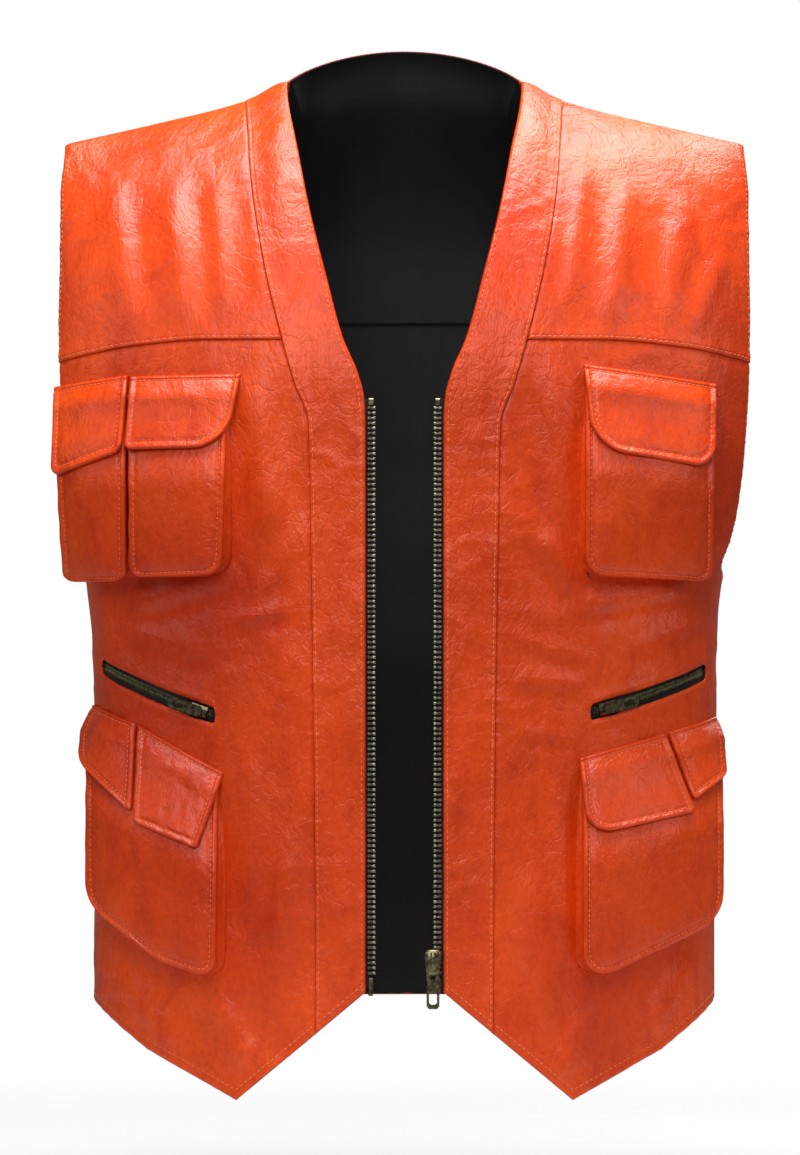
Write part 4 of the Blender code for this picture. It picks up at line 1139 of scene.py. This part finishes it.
def build_hand_zip(side, arc):
    """Tape and closed chain of one hand pocket."""
    tag = TAG[side]
    a = np.linspace(-arc.more * 1.3, arc.sweep + arc.more * 1.3, 70)
    w = np.linspace(-9.6, 9.6, 15)
    grid = arc.at(a[None, :] + 0 * w[:, None], w[:, None] + 0 * a[None, :],
                  -1.6 - 0.9 * (np.abs(w[:, None]) / 9.6) ** 2 + 0 * a[None, :])
    obj = mesh_from(f"hand_zip_black_tape_{tag}", grid.reshape(-1, 3),
                    grid_faces(*grid.shape[:2], flip=(side > 0)), TAPE)
    thicken(obj, 0.7, edge=0.15)
    settle(obj, side, replaces=[f"hand_zip_tape_{tag}"])
    # closed chain: fine interlocked coils, two rows meeting in the middle
    parts = []
    span = abs(arc.sweep + arc.more * 1.2) * arc.radius
    count = int(span / COIL_PITCH)
    for i in range(count):
        mid = -arc.more * 0.5 + (arc.sweep + arc.more) * (i + 0.5) / count
        half = arc.turn * 0.48 / arc.radius
        for lo, hi, off in ((-3.0, 0.35, 0.0), (-0.35, 3.0, 0.5)):
            m = mid + off * arc.turn * COIL_PITCH / arc.radius
            rings = []
            for c, top, k in ((lo, -0.9, 0.6), (lo + 0.4, -0.35, 1.0), ((lo + hi) / 2, 0.15, 1.0),
                              (hi - 0.4, -0.35, 1.0), (hi, -0.9, 0.6)):
                rings.append(np.stack([arc.at(m - half * k, c, top - 0.4), arc.at(m - half * 0.5 * k, c, top),
                                       arc.at(m + half * 0.5 * k, c, top), arc.at(m + half * k, c, top - 0.4),
                                       arc.at(m + half * k, c, -1.5), arc.at(m - half * k, c, -1.5)]))
            parts.append(ring_bar(np.array(rings)))
    obj = mesh_from(f"hand_zip_coil_chain_{tag}", *join(parts), OLIVE)
    outward(obj, 50)
    settle(obj, side, replaces=[f"hand_zip_chain_{tag}"])


def build_slider():
    """Slider body of the front zip: two shaped plates round the channel, and the bridge for the puller."""
    lo, hi = (np.array(v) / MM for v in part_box("zip_slider_left"))
    mid, half = (lo + hi) / 2, (hi - lo) / 2
    a = np.linspace(0, 2 * math.pi, 40, endpoint=False)
    out_x = np.sign(np.cos(a)) * np.abs(np.cos(a)) ** 0.55
    out_z = np.sign(np.sin(a)) * np.abs(np.sin(a)) ** 0.62
    taper = 0.84 + 0.16 * out_z - 0.05 * np.cos(out_z * math.pi)
    front, depth = lo[1] + 1.5, hi[1] - lo[1] - 1.5
    rings = []
    for q, k in ((0, 0.72), (0.05, 0.88), (0.14, 0.97), (0.24, 1.0), (0.30, 0.94), (0.34, 0.78), (0.66, 0.78),
                 (0.70, 0.94), (0.78, 1.0), (0.9, 0.97), (1.0, 0.84)):
        rings.append(np.stack([mid[0] + half[0] * out_x * taper * k, np.full_like(a, front + depth * q),
                               mid[2] + (half[2] - 0.2) * out_z * (0.4 + 0.6 * k)], -1))
    parts = [ring_bar(np.array(rings))]
    turn = np.linspace(0, 2 * math.pi, 12, endpoint=False)
    arch = []
    for q in np.linspace(0, 1, 15):
        bend = math.pi * q
        reach = half[2] * 0.62
        core = np.array([mid[0], front + 0.5 - 2.0 * math.sin(bend) ** 0.6,
                         mid[2] + 0.5 + reach * math.cos(bend)])
        along = unit(np.array([0, -math.cos(bend) * 1.2, -math.sin(bend) * reach - 0.01]))
        up = np.cross(along, [1, 0, 0])
        arch.append(core + np.outer(np.cos(turn) * 1.5, [1, 0, 0]) + np.outer(np.sin(turn) * 0.7, up))
    parts.append(ring_bar(np.array(arch)))
    obj = mesh_from("zip_shaped_slider", *join(parts), BRASS)
    outward(obj, 42)
    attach(obj, "zip_slider")
    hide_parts("zip_slider_left")


OLIVE = metal("olive_brass_chain", (0.20, 0.19, 0.10), (0.08, 0.075, 0.04), (0.34, 0.48))
build_slider()
for side in (1, -1):
    build_front_zip(side)
    build_hand_zip(side, arcs[side])

for obj in list(bpy.data.objects):
    if obj.name.startswith(("zip_slider", "zip_pull", "zip_box", "zip_pin", "zip_top_stop", "hand_zip_slider",
                            "hand_zip_pull")):
        for slot in obj.material_slots:
            slot.material = BRASS
        bevel = obj.modifiers.new("worn edges", "BEVEL")
        bevel.width = 0.35 * MM
        bevel.segments = 3
        bevel.limit_method = "ANGLE"

for obj, sheet in SHEETS:
    flat, area = cut_size(sheet)


# ---- stage ---------------------------------------------------------------------------------------
FLOOR = -760.0


def plain(name, colour, rough=0.7):
    mat, t, b = shader(name)
    cloud = node(t, "ShaderNodeTexNoise", Scale=3.0, Detail=2.0).outputs["Fac"]
    dark = tuple(c * 0.985 for c in colour)
    t.links.new(ramp(t, cloud, [(0.3, (*dark, 1)), (0.7, (*colour, 1))]), b.inputs["Base Color"])
    b.inputs["Roughness"].default_value = rough
    return mat


def build_stage():
    """Round pale floor that thins out to nothing towards its rim, so it has no horizon from any side."""
    mat = plain("pale_floor", (0.86, 0.86, 0.855))
    t, link = mat.node_tree, mat.node_tree.links.new
    far = node(t, "ShaderNodeVectorMath", operation="LENGTH")
    link(object_space(t), far.inputs[0])
    fade = node(t, "ShaderNodeMapRange", interpolation_type="SMOOTHSTEP")
    for name, value in (("From Min", 0.42), ("From Max", 1.5), ("To Min", 1.0), ("To Max", 0.0)):
        fade.inputs[name].default_value = value
    link(far.outputs["Value"], fade.inputs["Value"])
    link(fade.outputs[0], next(n for n in t.nodes if n.type == "BSDF_PRINCIPLED").inputs["Alpha"])
    radii, turns = np.linspace(0, 3.0, 16), np.linspace(0, 2 * math.pi, 72, endpoint=False)
    verts = [(r * 1000 * math.cos(a), r * 1000 * math.sin(a), FLOOR) for r in radii[1:] for a in turns]
    verts.append((0, 0, FLOOR))
    n = len(turns)
    faces = [(r * n + k, (r + 1) * n + k, (r + 1) * n + (k + 1) % n, r * n + (k + 1) % n)
             for r in range(len(radii) - 2) for k in range(n)]
    faces += [(len(verts) - 1, k, (k + 1) % n) for k in range(n)]
    floor = mesh_from("round_floor", verts, faces, mat)


def area_light(name, place, target, size, power, colour=(1, 1, 1), size_y=None):
    light = bpy.data.lights.new(name, "AREA")
    light.energy, light.size, light.color = power, size, colour
    if size_y:
        light.shape, light.size_y = "RECTANGLE", size_y
    obj = bpy.data.objects.new(name, light)
    bpy.context.scene.collection.objects.link(obj)
    obj.location = place
    obj.rotation_euler = (Vector(target) - Vector(place)).to_track_quat("-Z", "Y").to_euler()
    return obj


build_stage()
middle = (0, 0, -0.33)
area_light("overhead_key", (0.10, -0.12, 0.90), (0.02, -0.02, -0.1), 1.3, 32, size_y=0.6)
area_light("front_fill", (-0.2, -2.2, 0.75), (0, 0, -0.25), 1.2, 20.5)
area_light("side_fill", (2.0, -1.4, 0.5), middle, 1.0, 8)
area_light("left_fill", (-2.0, -1.0, 0.5), middle, 1.0, 5)
area_light("back_fill", (0.8, 3.0, 1.1), middle, 1.6, 30)

world = bpy.data.worlds.new("studio")
world.use_nodes = True
tree = world.node_tree
soft = tree.nodes["Background"]
soft.inputs["Color"].default_value = (1, 1, 1, 1)
soft.inputs["Strength"].default_value = 0.13
paper = node(tree, "ShaderNodeBackground")
paper.inputs["Color"].default_value = (1, 1, 1, 1)
either = node(tree, "ShaderNodeMixShader")
tree.links.new(node(tree, "ShaderNodeLightPath").outputs["Is Camera Ray"], either.inputs[0])
tree.links.new(soft.outputs[0], either.inputs[1])
tree.links.new(paper.outputs[0], either.inputs[2])
tree.links.new(either.outputs[0], tree.nodes["World Output"].inputs["Surface"])
bpy.context.scene.world = world
bpy.context.scene.view_settings.view_transform = "Standard"

camera = bpy.data.cameras.new("camera")
camera.sensor_fit, camera.sensor_height, camera.lens = "VERTICAL", 36, 233.5
camera.clip_end = 60
eye = bpy.data.objects.new("camera", camera)
bpy.context.scene.collection.objects.link(eye)
eye.location = (-0.003, -5.122, -0.340)
eye.rotation_euler = (math.pi / 2, 0, 0)
bpy.context.scene.camera = eye
